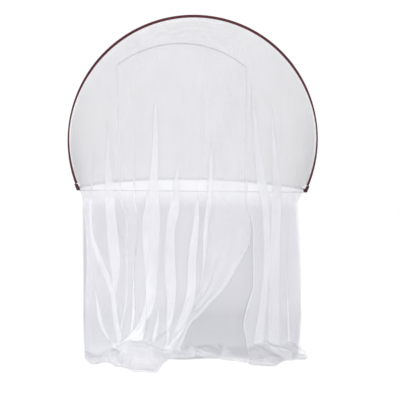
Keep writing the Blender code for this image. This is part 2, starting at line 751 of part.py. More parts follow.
def make_front():
    """The front netting: the gable, both curtains, the two door leaves and their tapes."""
    half_tape = SEAM_TAPE_WIDTH / 2
    half_gap = SHEET_GAP / 2
    flat = half_tape + SHEET_GAP
    make_gable()
    make_arch_tape()
    hanging_sheet(
        "left_curtain",
        (LEFT_EDGE_SHARES, beside(LEFT_SEAM_SHARES, -half_gap - flat), beside(LEFT_SEAM_SHARES, -half_gap)),
        LEFT_COLUMNS,
        LEFT_FOLD_SHARES,
        FOLD_HEIGHT,
        flat_right=True,
    )
    hanging_sheet(
        "door_leaf_outer",
        (
            beside(LEFT_SEAM_SHARES, half_gap),
            beside(LEFT_SEAM_SHARES, half_gap + flat),
            FIRST_FOLD_SHARES,
            SECOND_FOLD_SHARES,
            MIDDLE_FOLD_SHARES,
            FOURTH_FOLD_SHARES,
            beside(LEAF_EDGE_SHARES, -half_gap - flat),
            beside(LEAF_EDGE_SHARES, -half_gap),
        ),
        OUTER_LEAF_COLUMNS,
        OUTER_LEAF_FOLD_SHARES,
        LEAF_FOLD_HEIGHT,
        flat_left=True,
        flat_right=True,
        under_arch=True,
        lift=LEAF_LIFT,
    )
    hanging_sheet(
        "door_leaf_inner",
        (INNER_EDGE_SHARES, beside(RIGHT_SEAM_SHARES, -half_gap - flat), beside(RIGHT_SEAM_SHARES, -half_gap)),
        INNER_LEAF_COLUMNS,
        INNER_LEAF_FOLD_SHARES,
        INNER_FOLD_HEIGHT,
        flat_right=True,
        under_arch=True,
        back=LEAF_SPACING,
    )
    hanging_sheet(
        "right_curtain",
        (
            beside(RIGHT_SEAM_SHARES, half_gap),
            beside(RIGHT_SEAM_SHARES, half_gap + SEAM_TAPE_WIDTH + SHEET_GAP),
            RIGHT_FOLD_LINE_SHARES,
            RIGHT_LAST_FOLD_SHARES,
            RIGHT_EDGE_SHARES,
        ),
        RIGHT_COLUMNS,
        RIGHT_FOLD_SHARES,
        FOLD_HEIGHT,
        flat_left=True,
    )
    make_seam_tape("left_seam_tape", LEFT_SEAM_SHARES, (-half_tape, 0.0, half_tape))
    make_seam_tape("right_seam_tape", RIGHT_SEAM_SHARES, (SHEET_GAP, half_tape, SEAM_TAPE_WIDTH))


def build():
    """Builds every piece of the tent."""
    clear_scene()
    upper_bow_piece("bow_rod", rod_outline(), ROD_END_HEIGHT, SPRING_STEEL)
    upper_bow_piece("bow_tape", tape_outline(), TAPE_START_HEIGHT, MAROON_TAPE)
    for word, side in SIDES.items():
        make_foot(f"foot_{word}", side)
        make_rivet(f"hinge_rivet_{word}", side)
        make_eye(f"hinge_eye_{word}", side)
    make_strap()
    rod_setback = SOCKET_LENGTH - SOCKET_DEPTH + BORE_CLEARANCE
    base_bow_piece("base_rod", rod_outline(), rod_setback, False, SPRING_STEEL)
    base_bow_piece("base_tape", tape_outline(), SOCKET_LENGTH + SEAT_GAP, True, SEAM_TAPE)
    make_front()
    make_back()


build()
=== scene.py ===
"""Looks of the mosquito net tent: fine netting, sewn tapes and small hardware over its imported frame.

Metres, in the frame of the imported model: the origin is on the tabletop between the feet, +Z is up and
-Y is the front.
"""

import logging
import math
from collections.abc import Sequence
from dataclasses import dataclass, field
from enum import Enum

import bmesh
import bpy
import numpy as np
from mathutils import Matrix, Vector


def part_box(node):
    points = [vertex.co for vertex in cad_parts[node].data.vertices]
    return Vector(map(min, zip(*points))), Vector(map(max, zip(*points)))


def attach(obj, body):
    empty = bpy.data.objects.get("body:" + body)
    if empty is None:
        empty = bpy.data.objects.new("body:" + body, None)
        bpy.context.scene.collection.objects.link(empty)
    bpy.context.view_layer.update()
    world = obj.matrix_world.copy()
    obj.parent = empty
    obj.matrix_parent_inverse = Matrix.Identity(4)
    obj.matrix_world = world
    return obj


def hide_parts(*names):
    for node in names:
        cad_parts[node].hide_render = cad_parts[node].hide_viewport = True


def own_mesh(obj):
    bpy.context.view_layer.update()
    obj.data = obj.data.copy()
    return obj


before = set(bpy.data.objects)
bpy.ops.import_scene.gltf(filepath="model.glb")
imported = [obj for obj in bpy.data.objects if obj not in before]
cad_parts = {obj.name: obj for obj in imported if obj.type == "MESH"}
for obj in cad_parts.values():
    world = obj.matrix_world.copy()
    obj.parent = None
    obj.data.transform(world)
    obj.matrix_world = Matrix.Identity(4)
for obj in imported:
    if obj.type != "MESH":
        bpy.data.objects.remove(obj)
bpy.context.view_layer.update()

log = logging.getLogger("net_tent")

Array = np.ndarray
Line = tuple[float, ...]
Colour = tuple[float, float, float]

FRONT_FRAME = "front_frame"
BASE_BOW = "base_bow"

BOW_TAPE_START = 0.0328
BASE_BOW_HEIGHT = 0.0088
SOCKET_CLEARANCE = 0.0003


# Small helpers for numbers


def smooth_step(value: Array | float) -> Array:
    """Rises smoothly from 0 to 1 as value does."""
    value = np.clip(value, 0.0, 1.0)
    return value * value * (3 - 2 * value)


def smooth_curve(at: Array | float, stations: Sequence[float], values: Sequence[float]) -> Array:
    """A smooth curve through values at stations.

    Args:
        at: where the curve is read.
        stations: rising places at which the values are given.
        values: one value for each station.

    Returns:
        The curve's values at those places.
    """
    x, y = np.asarray(stations, float), np.asarray(values, float)
    slopes = np.gradient(y, x)
    i = np.clip(np.searchsorted(x, at, side="right") - 1, 0, len(x) - 2)
    h = x[i + 1] - x[i]
    t = np.clip((at - x[i]) / h, 0, 1)
    rising = t * (1 - t) ** 2 * h * slopes[i] + t * t * (t - 1) * h * slopes[i + 1]
    return (1 + 2 * t) * (1 - t) ** 2 * y[i] + t * t * (3 - 2 * t) * y[i + 1] + rising


def calm_ends(run: Array, whole: Array | float, start: float, end: float) -> Array:
    """0 at both ends of a length and 1 between them, rising over a length at its start and at its end."""
    return smooth_step(run / start) * smooth_step((whole - run) / end)


def lattice_noise(across: Array, down: Array, size: tuple[float, float], seed: int) -> Array:
    """Smooth random values from -1 to 1.

    Args:
        across: places in one direction.
        down: places in the other direction.
        size: how far apart the random values stand in each direction.
        seed: picks the random values.

    Returns:
        One value for each place.
    """
    count = 64
    table = np.random.default_rng(seed).uniform(-1, 1, (count, count))
    x, y = across / size[0], down / size[1]
    i, j = np.floor(x).astype(int), np.floor(y).astype(int)
    u, v = smooth_step(x - i), smooth_step(y - j)
    i0, i1, j0, j1 = i % count, (i + 1) % count, j % count, (j + 1) % count
    low = table[j0, i0] * (1 - u) + table[j0, i1] * u
    high = table[j1, i0] * (1 - u) + table[j1, i1] * u
    return low * (1 - v) + high * v


def unit(vectors: Array) -> Array:
    """The vectors at length 1."""
    return vectors / np.maximum(np.linalg.norm(vectors, axis=-1, keepdims=True), 1e-12)


def lengths_along(grid: Array, axis: int) -> Array:
    """Lengths along the rows or columns of a grid of points, from its first column or row."""
    steps = np.linalg.norm(np.diff(grid, axis=axis), axis=2)
    start = np.zeros_like(steps[:, :1] if axis == 1 else steps[:1])
    return np.concatenate((start, np.cumsum(steps, axis=axis)), axis=axis)


def grid_normals(grid: Array, facing: tuple[float, float, float] = (0.0, -1.0, 0.6)) -> Array:
    """Unit normals of a grid of points, on the side that faces a direction."""
    normals = unit(np.cross(np.gradient(grid, axis=1), np.gradient(grid, axis=0)))
    return normals * np.where(normals @ np.array(facing) < 0, -1, 1)[..., None]


# Shader nodes


class Signal:
    """A number that varies over a surface, on which Python's operators add Math nodes."""

    def __init__(self, wiring: "Wiring", socket: bpy.types.NodeSocket) -> None:
        """Wraps an output socket of one node tree."""
        self.wiring = wiring
        self.socket = socket

    def math(self, operation: str, *operands: "Signal | float") -> "Signal":
        """Adds one Math node.

        Args:
            operation: the Math node's operation.
            operands: its inputs, in order.

        Returns:
            The node's result.
        """
        node = self.wiring.node("ShaderNodeMath", {"operation": operation}, dict(enumerate(operands)))
        return Signal(self.wiring, node.outputs[0])

    def __add__(self, other: "Signal | float") -> "Signal":
        """Adds."""
        return self.math("ADD", self, other)

    __radd__ = __add__

    def __sub__(self, other: "Signal | float") -> "Signal":
        """Subtracts."""
        return self.math("SUBTRACT", self, other)

    def __rsub__(self, other: float) -> "Signal":
        """Subtracts this from a number."""
        return self.math("SUBTRACT", other, self)

    def __mul__(self, other: "Signal | float") -> "Signal":
        """Multiplies."""
        return self.math("MULTIPLY", self, other)

    __rmul__ = __mul__

    def sine(self) -> "Signal":
        """The sine."""
        return self.math("SINE", self)

    def least(self, other: "Signal | float") -> "Signal":
        """The lesser of two."""
        return self.math("MINIMUM", self, other)

    def most(self, other: "Signal | float") -> "Signal":
        """The greater of two."""
        return self.math("MAXIMUM", self, other)

    def between(self, low: float, high: float) -> "Signal":
        """Rises smoothly from 0 at low to 1 at high."""
        inputs = {"Value": self, "From Min": low, "From Max": high}
        node = self.wiring.node("ShaderNodeMapRange", {"interpolation_type": "SMOOTHSTEP"}, inputs)
        return Signal(self.wiring, node.outputs["Result"])


class Wiring:
    """Adds nodes to one node tree and links them."""

    def __init__(self, tree: bpy.types.NodeTree) -> None:
        """Starts work on a node tree."""
        self.tree = tree

    def feed(self, socket: bpy.types.NodeSocket, value: object) -> None:
        """Gives an input socket a number, a colour, or a link."""
        if isinstance(value, Signal):
            value = value.socket
        if isinstance(value, bpy.types.NodeSocket):
            self.tree.links.new(value, socket)
        elif isinstance(value, tuple) and socket.type == "RGBA":
            socket.default_value = (*value[:3], 1.0)
        else:
            socket.default_value = value

    def node(
        self,
        kind: str,
        settings: dict[str, object] | None = None,
        inputs: dict[object, object] | None = None,
    ) -> bpy.types.Node:
        """Adds a node.

        Args:
            kind: the node's type.
            settings: the node's own options, set before its sockets.
            inputs: values or links, by the sockets' names or numbers.

        Returns:
            The node.
        """
        node = self.tree.nodes.new(kind)
        for name, value in (settings or {}).items():
            setattr(node, name, value)
        for name, value in (inputs or {}).items():
            self.feed(node.inputs[name], value)
        return node

    def seen(self) -> Signal:
        """1 for rays by which the camera sees, straight, mirrored or through glass; 0 for other light."""
        path = self.node("ShaderNodeLightPath")
        names = [f"Is {kind} Ray" for kind in ("Camera", "Glossy", "Transmission")]
        straight, mirrored, through = (Signal(self, path.outputs[name]) for name in names)
        return straight.most(mirrored).most(through)


class Paint(Wiring):
    """Builds the nodes of one material."""

    def __init__(self, name: str) -> None:
        """Starts a material with its Principled shader."""
        self.material = bpy.data.materials.new(name)
        self.material.use_nodes = True
        super().__init__(self.material.node_tree)
        self.shader = self.tree.nodes["Principled BSDF"]

    def coordinate(self, name: str) -> bpy.types.NodeSocket:
        """The surface's Object or UV coordinates."""
        return self.node("ShaderNodeTexCoord").outputs[name]

    def vector(self, operation: str, *operands: object) -> bpy.types.NodeSocket:
        """Adds one Vector Math node and returns its result."""
        node = self.node("ShaderNodeVectorMath", {"operation": operation}, dict(enumerate(operands)))
        return node.outputs["Value" if operation == "LENGTH" else "Vector"]

    def parts(self, vector: bpy.types.NodeSocket) -> tuple[Signal, Signal, Signal]:
        """The three parts of a vector."""
        node = self.node("ShaderNodeSeparateXYZ", None, {0: vector})
        return tuple(Signal(self, output) for output in node.outputs)

    def noise(self, vector: object, scale: float, detail: float = 2.0, roughness: float = 0.5) -> Signal:
        """Random values from 0 to 1 over a surface."""
        inputs = {"Vector": vector, "Scale": scale, "Detail": detail, "Roughness": roughness}
        return Signal(self, self.node("ShaderNodeTexNoise", None, inputs).outputs[0])

    def mix(self, share: Signal, first: object, second: object) -> bpy.types.NodeSocket:
        """A colour between two others."""
        node = self.node("ShaderNodeMix", {"data_type": "RGBA"}, {"Factor": share})
        self.feed(node.inputs[6], first)
        self.feed(node.inputs[7], second)
        return node.outputs[2]

    def bump(self, height: Signal, distance: float, strength: float = 1.0) -> None:
        """Gives the surface a relief of one height, in metres."""
        inputs = {"Height": height, "Distance": distance, "Strength": strength}
        self.feed(self.shader.inputs["Normal"], self.node("ShaderNodeBump", None, inputs).outputs[0])

    def surface(self, **sockets: object) -> bpy.types.Material:
        """Sets the shader's sockets; an underscore in a name stands for a space.

        Returns:
            The finished material.
        """
        for name, value in sockets.items():
            self.feed(self.shader.inputs[name.replace("_", " ")], value)
        return self.material


# Finishes


@dataclass(frozen=True)
class NettingFinish:
    """Knitted polyester netting with six-sided holes."""

    name: str = "white_netting"
    colour: Colour = (0.84, 0.84, 0.88)
    shade: Colour = (0.80, 0.80, 0.84)
    cell: float = 0.0017
    hole_start: float = 0.28
    hole_end: float = 0.47
    hole_alpha: float = 0.05
    thread_alpha: float = 0.88

    def make(self) -> bpy.types.Material:
        """Builds the material."""
        paint = Paint(self.name)
        uv = paint.coordinate("UV")
        tall = math.sqrt(3)
        places = paint.vector("MULTIPLY", uv, (1 / self.cell, 1 / (self.cell * tall), 0.0))
        nearest = []
        for shift in (0.0, 0.5):
            inside = paint.vector("FRACTION", paint.vector("ADD", places, (shift, shift, 0.0)))
            centred = paint.vector("SUBTRACT", inside, (0.5, 0.5, 0.0))
            scaled = paint.vector("MULTIPLY", centred, (1.0, tall, 0.0))
            nearest.append(Signal(paint, paint.vector("LENGTH", scaled)))
        thread = nearest[0].least(nearest[1]).between(self.hole_start, self.hole_end)
        cloud = paint.noise(paint.coordinate("Object"), scale=9.0, detail=3.0).between(0.3, 0.7)
        paint.bump(thread, distance=0.0002, strength=0.35)
        return paint.surface(
            Base_Color=paint.mix(cloud, self.shade, self.colour),
            Roughness=0.55 + 0.2 * thread,
            Alpha=self.hole_alpha + (self.thread_alpha - self.hole_alpha) * thread,
            Sheen_Weight=0.35,
            Sheen_Roughness=0.45,
            Specular_IOR_Level=0.35,
        )


@dataclass(frozen=True)
class RibbonFinish:
    """Woven tape with ribs across it."""

    name: str
    colour: Colour
    shade: Colour
    rib: float = 0.0009
    alpha: float = 1.0
    relief: float = 0.00018
    sheen: float = 0.25

    def make(self) -> bpy.types.Material:
        """Builds the material."""
        paint = Paint(self.name)
        along, across, _ = paint.parts(paint.coordinate("UV"))
        turn = 2 * math.pi / self.rib
        ribs = (along * turn).sine() * 0.5 + 0.5
        weave = (across * turn * 1.4).sine() * (along * turn * 0.5).sine() * 0.5 + 0.5
        wear = paint.noise(paint.coordinate("Object"), scale=34.0, detail=4.0, roughness=0.6)
        lint = paint.noise(paint.coordinate("Object"), scale=900.0, detail=1.0)
        height = 0.7 * ribs + 0.3 * weave
        paint.bump(height, self.relief, strength=0.6)
        share = (0.45 * height + 0.65 * wear.between(0.25, 0.8) + 0.12 * lint).least(1.0)
        return paint.surface(
            Base_Color=paint.mix(share, self.shade, self.colour),
            Roughness=0.72 + 0.2 * wear,
            Alpha=self.alpha,
            Sheen_Weight=self.sheen,
            Sheen_Roughness=0.5,
        )


@dataclass(frozen=True)
class SteelFinish:
    """Drawn or plated steel with fine marks and faint stains."""

    name: str
    colour: Colour = (0.50, 0.50, 0.51)
    shade: Colour = (0.36, 0.35, 0.35)

    def make(self) -> bpy.types.Material:
        """Builds the material."""
        paint = Paint(self.name)
        place = paint.coordinate("Object")
        marks = paint.noise(place, scale=800.0, detail=3.0, roughness=0.6)
        stains = paint.noise(place, scale=60.0, detail=4.0, roughness=0.65).between(0.35, 0.75)
        paint.bump(marks, distance=0.0001, strength=0.25)
        return paint.surface(
            Base_Color=paint.mix(stains, self.shade, self.colour),
            Metallic=1.0,
            Roughness=0.26 + 0.16 * marks + 0.12 * (1 - stains),
        )


@dataclass(frozen=True)
class MouldedFinish:
    """Dark moulded plastic with a fine spark grain."""

    name: str = "dark_moulding"
    colour: Colour = (0.046, 0.012, 0.019)
    worn: Colour = (0.070, 0.026, 0.034)

    def make(self) -> bpy.types.Material:
        """Builds the material."""
        paint = Paint(self.name)
        place = paint.coordinate("Object")
        grain = paint.noise(place, scale=1500.0)
        scuffs = paint.noise(place, scale=130.0, detail=5.0, roughness=0.7).between(0.52, 0.78)
        paint.bump(grain, distance=0.0002, strength=0.3)
        return paint.surface(
            Base_Color=paint.mix(0.6 * scuffs, self.colour, self.worn),
            Roughness=0.42 + 0.12 * grain + 0.18 * scuffs,
            Specular_IOR_Level=0.2,
        )


@dataclass(frozen=True)
class ThreadFinish:
    """Twisted sewing thread."""

    name: str
    colour: Colour
    shade: Colour

    def make(self) -> bpy.types.Material:
        """Builds the material."""
        paint = Paint(self.name)
        twist = paint.noise(paint.coordinate("Object"), scale=1400.0, detail=1.0).between(0.35, 0.65)
        paint.bump(twist, distance=0.0001, strength=0.4)
        return paint.surface(
            Base_Color=paint.mix(twist, self.shade, self.colour),
            Roughness=0.55 + 0.15 * twist,
        )


class Finish(Enum):
    """The tent's finishes."""

    NETTING = NettingFinish()
    INNER_NETTING = NettingFinish("inner_netting", hole_start=0.36, hole_end=0.52)
    # The back net's colour is darker than the front net's: painted shade, for its place behind the front
    # net; its holes are also smaller.
    BACK_NETTING_IN_PAINTED_SHADE = NettingFinish(
        "back_netting_in_painted_shade", (0.76, 0.76, 0.77), (0.73, 0.73, 0.74), hole_start=0.22, hole_end=0.42
    )
    MAROON = RibbonFinish("maroon_binding", (0.096, 0.013, 0.024), (0.056, 0.006, 0.012), sheen=0.10)
    WEBBING = RibbonFinish(
        "white_webbing", (0.88, 0.88, 0.90), (0.78, 0.78, 0.81), rib=0.0016, relief=0.0003
    )
    SEAM = RibbonFinish("white_seam_tape", (0.84, 0.84, 0.88), (0.76, 0.76, 0.81), rib=0.0011, alpha=0.45)
    HEM = RibbonFinish("white_hem", (0.78, 0.78, 0.82), (0.72, 0.72, 0.77), rib=0.0011, alpha=0.25)
    ARCH = RibbonFinish("grey_arch_tape", (0.36, 0.36, 0.39), (0.28, 0.28, 0.31), rib=0.0011, alpha=0.85)
    BINDING = RibbonFinish("white_binding", (0.80, 0.80, 0.83), (0.68, 0.68, 0.72))
    SPRING_STEEL = SteelFinish("spring_steel")
    ZINC = SteelFinish("zinc_plated_steel", (0.52, 0.52, 0.53), (0.40, 0.40, 0.42))
    MOULDING = MouldedFinish()
    MAROON_THREAD = ThreadFinish("maroon_thread", (0.17, 0.050, 0.070), (0.09, 0.022, 0.034))
    WHITE_THREAD = ThreadFinish("white_thread", (0.82, 0.82, 0.85), (0.66, 0.66, 0.70))


class Wardrobe:
    """Makes each finish once and hands out its material."""

    def __init__(self) -> None:
        """Starts with no material made."""
        self.made: dict[Finish, bpy.types.Material] = {}

    def material(self, finish: Finish) -> bpy.types.Material:
        """The material of a finish."""
        if finish not in self.made:
            self.made[finish] = finish.value.make()
        return self.made[finish]

    def dress(self, piece: bpy.types.Object, finish: Finish) -> None:
        """Gives a piece its finish, in place of any that it has."""
        piece.data.materials.clear()
        piece.data.materials.append(self.material(finish))


WARDROBE = Wardrobe()


# Making pieces


def add_piece(name: str, mesh: bpy.types.Mesh, finish: Finish, body: str) -> bpy.types.Object:
    """Puts a mesh into the scene as a piece of the tent.

    Args:
        name: the piece's name.
        mesh: its mesh, already in place.
        finish: its finish.
        body: the body that it rides on.

    Returns:
        The piece.
    """
    piece = bpy.data.objects.new(name, mesh)
    bpy.context.scene.collection.objects.link(piece)
    WARDROBE.dress(piece, finish)
    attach(piece, body)
    log.info("%s: %d faces", name, len(mesh.polygons))
    return piece


def cloth_mesh(name: str, grid: Array) -> bpy.types.Mesh:
    """A smooth single-layer mesh through a grid of points, with its UV map in metres.

    Args:
        name: the mesh's name.
        grid: points by row, from the top, and column, from the left.

    Returns:
        The mesh.
    """
    rows, columns = grid.shape[0] - 1, grid.shape[1] - 1
    bm = bmesh.new()
    bm.loops.layers.uv.new("UVMap")
    bmesh.ops.create_grid(bm, x_segments=columns, y_segments=rows, size=0.5, calc_uvs=True)
    mesh = bpy.data.meshes.new(name)
    bm.to_mesh(mesh)
    bm.free()
    flat = np.zeros(len(mesh.vertices) * 3, np.float32)
    mesh.vertices.foreach_get("co", flat)
    flat = flat.reshape(-1, 3)
    column = np.rint((flat[:, 0] + 0.5) * columns).astype(int)
    row = np.rint((0.5 - flat[:, 1]) * rows).astype(int)
    mesh.vertices.foreach_set("co", grid[row, column].astype(np.float32).ravel())
    corners = np.zeros(len(mesh.loops), np.int32)
    mesh.loops.foreach_get("vertex_index", corners)
    places = np.stack((lengths_along(grid, 1), -lengths_along(grid, 0)), axis=2)
    mesh.uv_layers[0].data.foreach_set("uv", places[row, column][corners].astype(np.float32).ravel())
    mesh.shade_smooth()
    mesh.update()
    return mesh


@dataclass
class Stitching:
    """Rows of stitches: threads that run over a surface and dip into it."""

    pitch: float = 0.0042
    radius: float = 0.00028
    dips: tuple[float, ...] = (0.0, 0.14, 0.76, 0.90)
    lifts: tuple[float, ...] = (-1.2, 0.5, 0.5, -1.2)

    def row(self, path: Array, normals: Array) -> Array:
        """The points of one row of stitches.

        Args:
            path: points on the surface along the row.
            normals: the surface's normals there.

        Returns:
            The thread's points.
        """
        steps = np.linalg.norm(np.diff(path, axis=0), axis=1)
        run = np.concatenate(([0.0], np.cumsum(steps)))
        count = max(int(run[-1] / self.pitch), 1)
        at = ((np.arange(count)[:, None] + np.array(self.dips)) * self.pitch).ravel()
        lift = np.tile(np.array(self.lifts) * self.radius, count)
        points = np.stack([np.interp(at, run, path[:, k]) for k in range(3)], axis=1)
        out = unit(np.stack([np.interp(at, run, normals[:, k]) for k in range(3)], axis=1))
        return points + out * lift[:, None]

    def make(
        self, name: str, rows: Sequence[Array], finish: Finish, body: str, slot: str
    ) -> None:
        """Sews rows of stitches.

        Args:
            name: the piece's name.
            rows: the threads' points, one array for each row.
            finish: the thread's finish.
            body: the body that the stitches ride on.
            slot: their material slot; not used.
        """
        curve = bpy.data.curves.new(name, "CURVE")
        curve.dimensions = "3D"
        curve.bevel_depth = self.radius
        curve.bevel_resolution = 0
        curve.use_fill_caps = True
        for points in rows:
            spline = curve.splines.new("POLY")
            spline.points.add(len(points) - 1)
            spline.points.foreach_set("co", np.c_[points, np.ones(len(points))].astype(np.float32).ravel())
        holder = bpy.data.objects.new(f"{name}_curve", curve)
        bpy.context.scene.collection.objects.link(holder)
        ready = holder.evaluated_get(bpy.context.evaluated_depsgraph_get())
        mesh = bpy.data.meshes.new_from_object(ready)
        mesh.name = name
        bpy.data.objects.remove(holder)
        bpy.data.curves.remove(curve)
        mesh.shade_smooth()
        add_piece(name, mesh, finish, body)


# Bows


@dataclass
class BoundBow:
    """The folded binding tape round one of the bows, with its two rows of stitches."""

    name: str
    body: str
    radius: float
    centre: tuple[float, float, float]
    plane: tuple[tuple[float, float, float], tuple[float, float, float]]
    start: float
    upright: bool = False
    finish: Finish = Finish.MAROON
    thread: Finish = Finish.MAROON_THREAD
    slot: str = "maroon_tape"
    wall: float = 0.0008
    bore: float = 0.0024
    reach: float = 0.0098
    flange_shares: tuple[float, ...] = (1.0, 0.8, 0.55)
    side_reach: float = 0.45
    side_place: float = 0.12
    side_spread: float = 0.36
    stitch_share: float = 0.72
    thread_gap: float = 0.00005
    gap: float = 0.00125
    pucker: float = 0.00022
    steps: int = 420
    round_steps: int = 12
    stitches: Stitching = field(default_factory=Stitching)

    def profile(self) -> list[tuple[float, float]]:
        """The tape's middle line across the bow, as steps outwards and sideways, from lip to lip."""
        middle = self.bore + self.wall / 2
        side = self.gap + self.wall / 2
        end = math.pi - math.asin(side / middle)
        turns = [end * (2 * k / self.round_steps - 1) for k in range(self.round_steps + 1)]
        curve = [(middle * math.cos(t), middle * math.sin(t)) for t in turns]
        flange = [self.reach * share for share in self.flange_shares]
        return [(-f, -side) for f in flange] + curve + [(-f, side) for f in reversed(flange)]

    def place(self, turn: float | Array, out: float, side: float) -> Array:
        """A point beside the bow's centre line, or one for each of several turns."""
        first, second = np.array(self.plane[0]), np.array(self.plane[1])
        axis = np.cross(first, second)
        if self.upright:
            out, side, axis = side, out, -axis
        ring = np.multiply.outer(np.cos(turn), first) + np.multiply.outer(np.sin(turn), second)
        return np.array(self.centre) + ring * (self.radius + out) + axis * side

    def narrowed(self, turn: float | Array) -> float | Array:
        """The tape's reach inwards at a turn, as a share of its reach at the top; least at the sides."""
        from_side = (np.pi / 2 - np.abs(turn - np.pi / 2) - self.side_place) / self.side_spread
        return 1 - (1 - self.side_reach) * np.exp(-(from_side**2)) * (not self.upright)

    def make(self) -> None:
        """Builds the tape and its stitches in place of the CAD tape."""
        bm = bmesh.new()
        line = [bm.verts.new(self.place(self.start, *point)) for point in self.profile()]
        edges = [bm.edges.new(pair) for pair in zip(line, line[1:])]
        axis = Vector(self.plane[0]).cross(Vector(self.plane[1]))
        sweep = math.pi - 2 * self.start
        bmesh.ops.spin(
            bm, geom=[*line, *edges], cent=self.centre, axis=axis, angle=sweep, steps=self.steps
        )
        bmesh.ops.remove_doubles(bm, verts=bm.verts, dist=1e-6)
        bmesh.ops.recalc_face_normals(bm, faces=bm.faces)
        self.add_uv_and_puckers(bm)
        mesh = bpy.data.meshes.new(self.name)
        bm.to_mesh(mesh)
        bm.free()
        mesh.shade_smooth()
        tape = add_piece(f"{self.name}_binding", mesh, self.finish, self.body)
        solid = tape.modifiers.new("thickness", "SOLIDIFY")
        solid.thickness = self.wall
        solid.offset = 0.0
        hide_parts(self.name)
        rows = [self.stitch_row(side) for side in (-1, 1)]
        self.stitches.make(f"{self.name}_stitches", rows, self.thread, self.body, self.slot)

    def stitch_row(self, side: int) -> Array:
        """The points of the row of stitches on one side of the tape."""
        turns = np.linspace(self.start, math.pi - self.start, self.steps + 1)
        inwards = self.reach * self.stitch_share
        path = self.place(turns, -inwards, side * (self.gap + self.wall + self.thread_gap))
        drawn_out = inwards / self.radius * (1 - self.narrowed(turns))
        path -= (np.array(self.centre) - path) * drawn_out[:, None]
        normals = self.place(turns, 0.0, side) - self.place(turns, 0.0, 0.0)
        return self.stitches.row(path, normals)

    def add_uv_and_puckers(self, bm: bmesh.types.BMesh) -> None:
        """Lays the UV map along the bow, in metres, and draws the tape in at each stitch."""
        first, second = Vector(self.plane[0]), Vector(self.plane[1])
        axis = first.cross(second)
        centre = Vector(self.centre)
        layer = bm.loops.layers.uv.new("UVMap")
        places = {}
        for vert in bm.verts:
            away = vert.co - centre
            turn = math.atan2(away.dot(second), away.dot(first))
            turn += 2 * math.pi if turn < -math.pi / 2 else 0.0
            ring = first * math.cos(turn) + second * math.sin(turn)
            out, side = away.dot(ring) - self.radius, away.dot(axis)
            if self.upright:
                out, side = -side, out
            places[vert] = (turn * self.radius, math.copysign(1, side) * (self.bore - out))
            if out < -self.bore:
                vert.co += ring * -out * (1 - self.narrowed(turn))
                stitch = 2 * math.pi * turn * self.radius / self.stitches.pitch
                depth = self.pucker * (0.5 + 0.5 * math.cos(stitch))
                vert.co -= (ring if self.upright else axis) * math.copysign(depth, side)
        for face in bm.faces:
            for loop in face.loops:
                loop[layer].uv = places[loop.vert]


# Netting


@dataclass(frozen=True)
class Waves:
    """Random waves: their height, their lengths across and down the cloth, and what they add to a seed."""

    height: float
    lengths: tuple[float, float]
    seed: int = 0

    def over(self, across: Array, down: Array, seed: int = 0) -> Array:
        """The waves' heights at places across and down."""
        return self.height * lattice_noise(across, down, self.lengths, self.seed + seed)


@dataclass(frozen=True)
class Ridges(Waves):
    """Random ridges, which are the sharper the higher their power."""

    power: int = 2

    def over(self, across: Array, down: Array, seed: int = 0) -> Array:
        """The ridges' heights at places across and down."""
        noise = lattice_noise(across, down, self.lengths, self.seed + seed)
        return self.height * (1 - np.abs(noise)) ** self.power


@dataclass(frozen=True)
class Mound:
    """A round rise: its middle, its half widths in the same two directions, and its height."""

    middle: tuple[float, float]
    half_widths: tuple[float, float]
    height: float

    def over(self, *places: Array) -> Array:
        """The mound's heights at places in the two directions."""
        runs = [(at - mid) / half for at, mid, half in zip(places, self.middle, self.half_widths)]
        return self.height * np.exp(-sum(run**2 for run in runs))


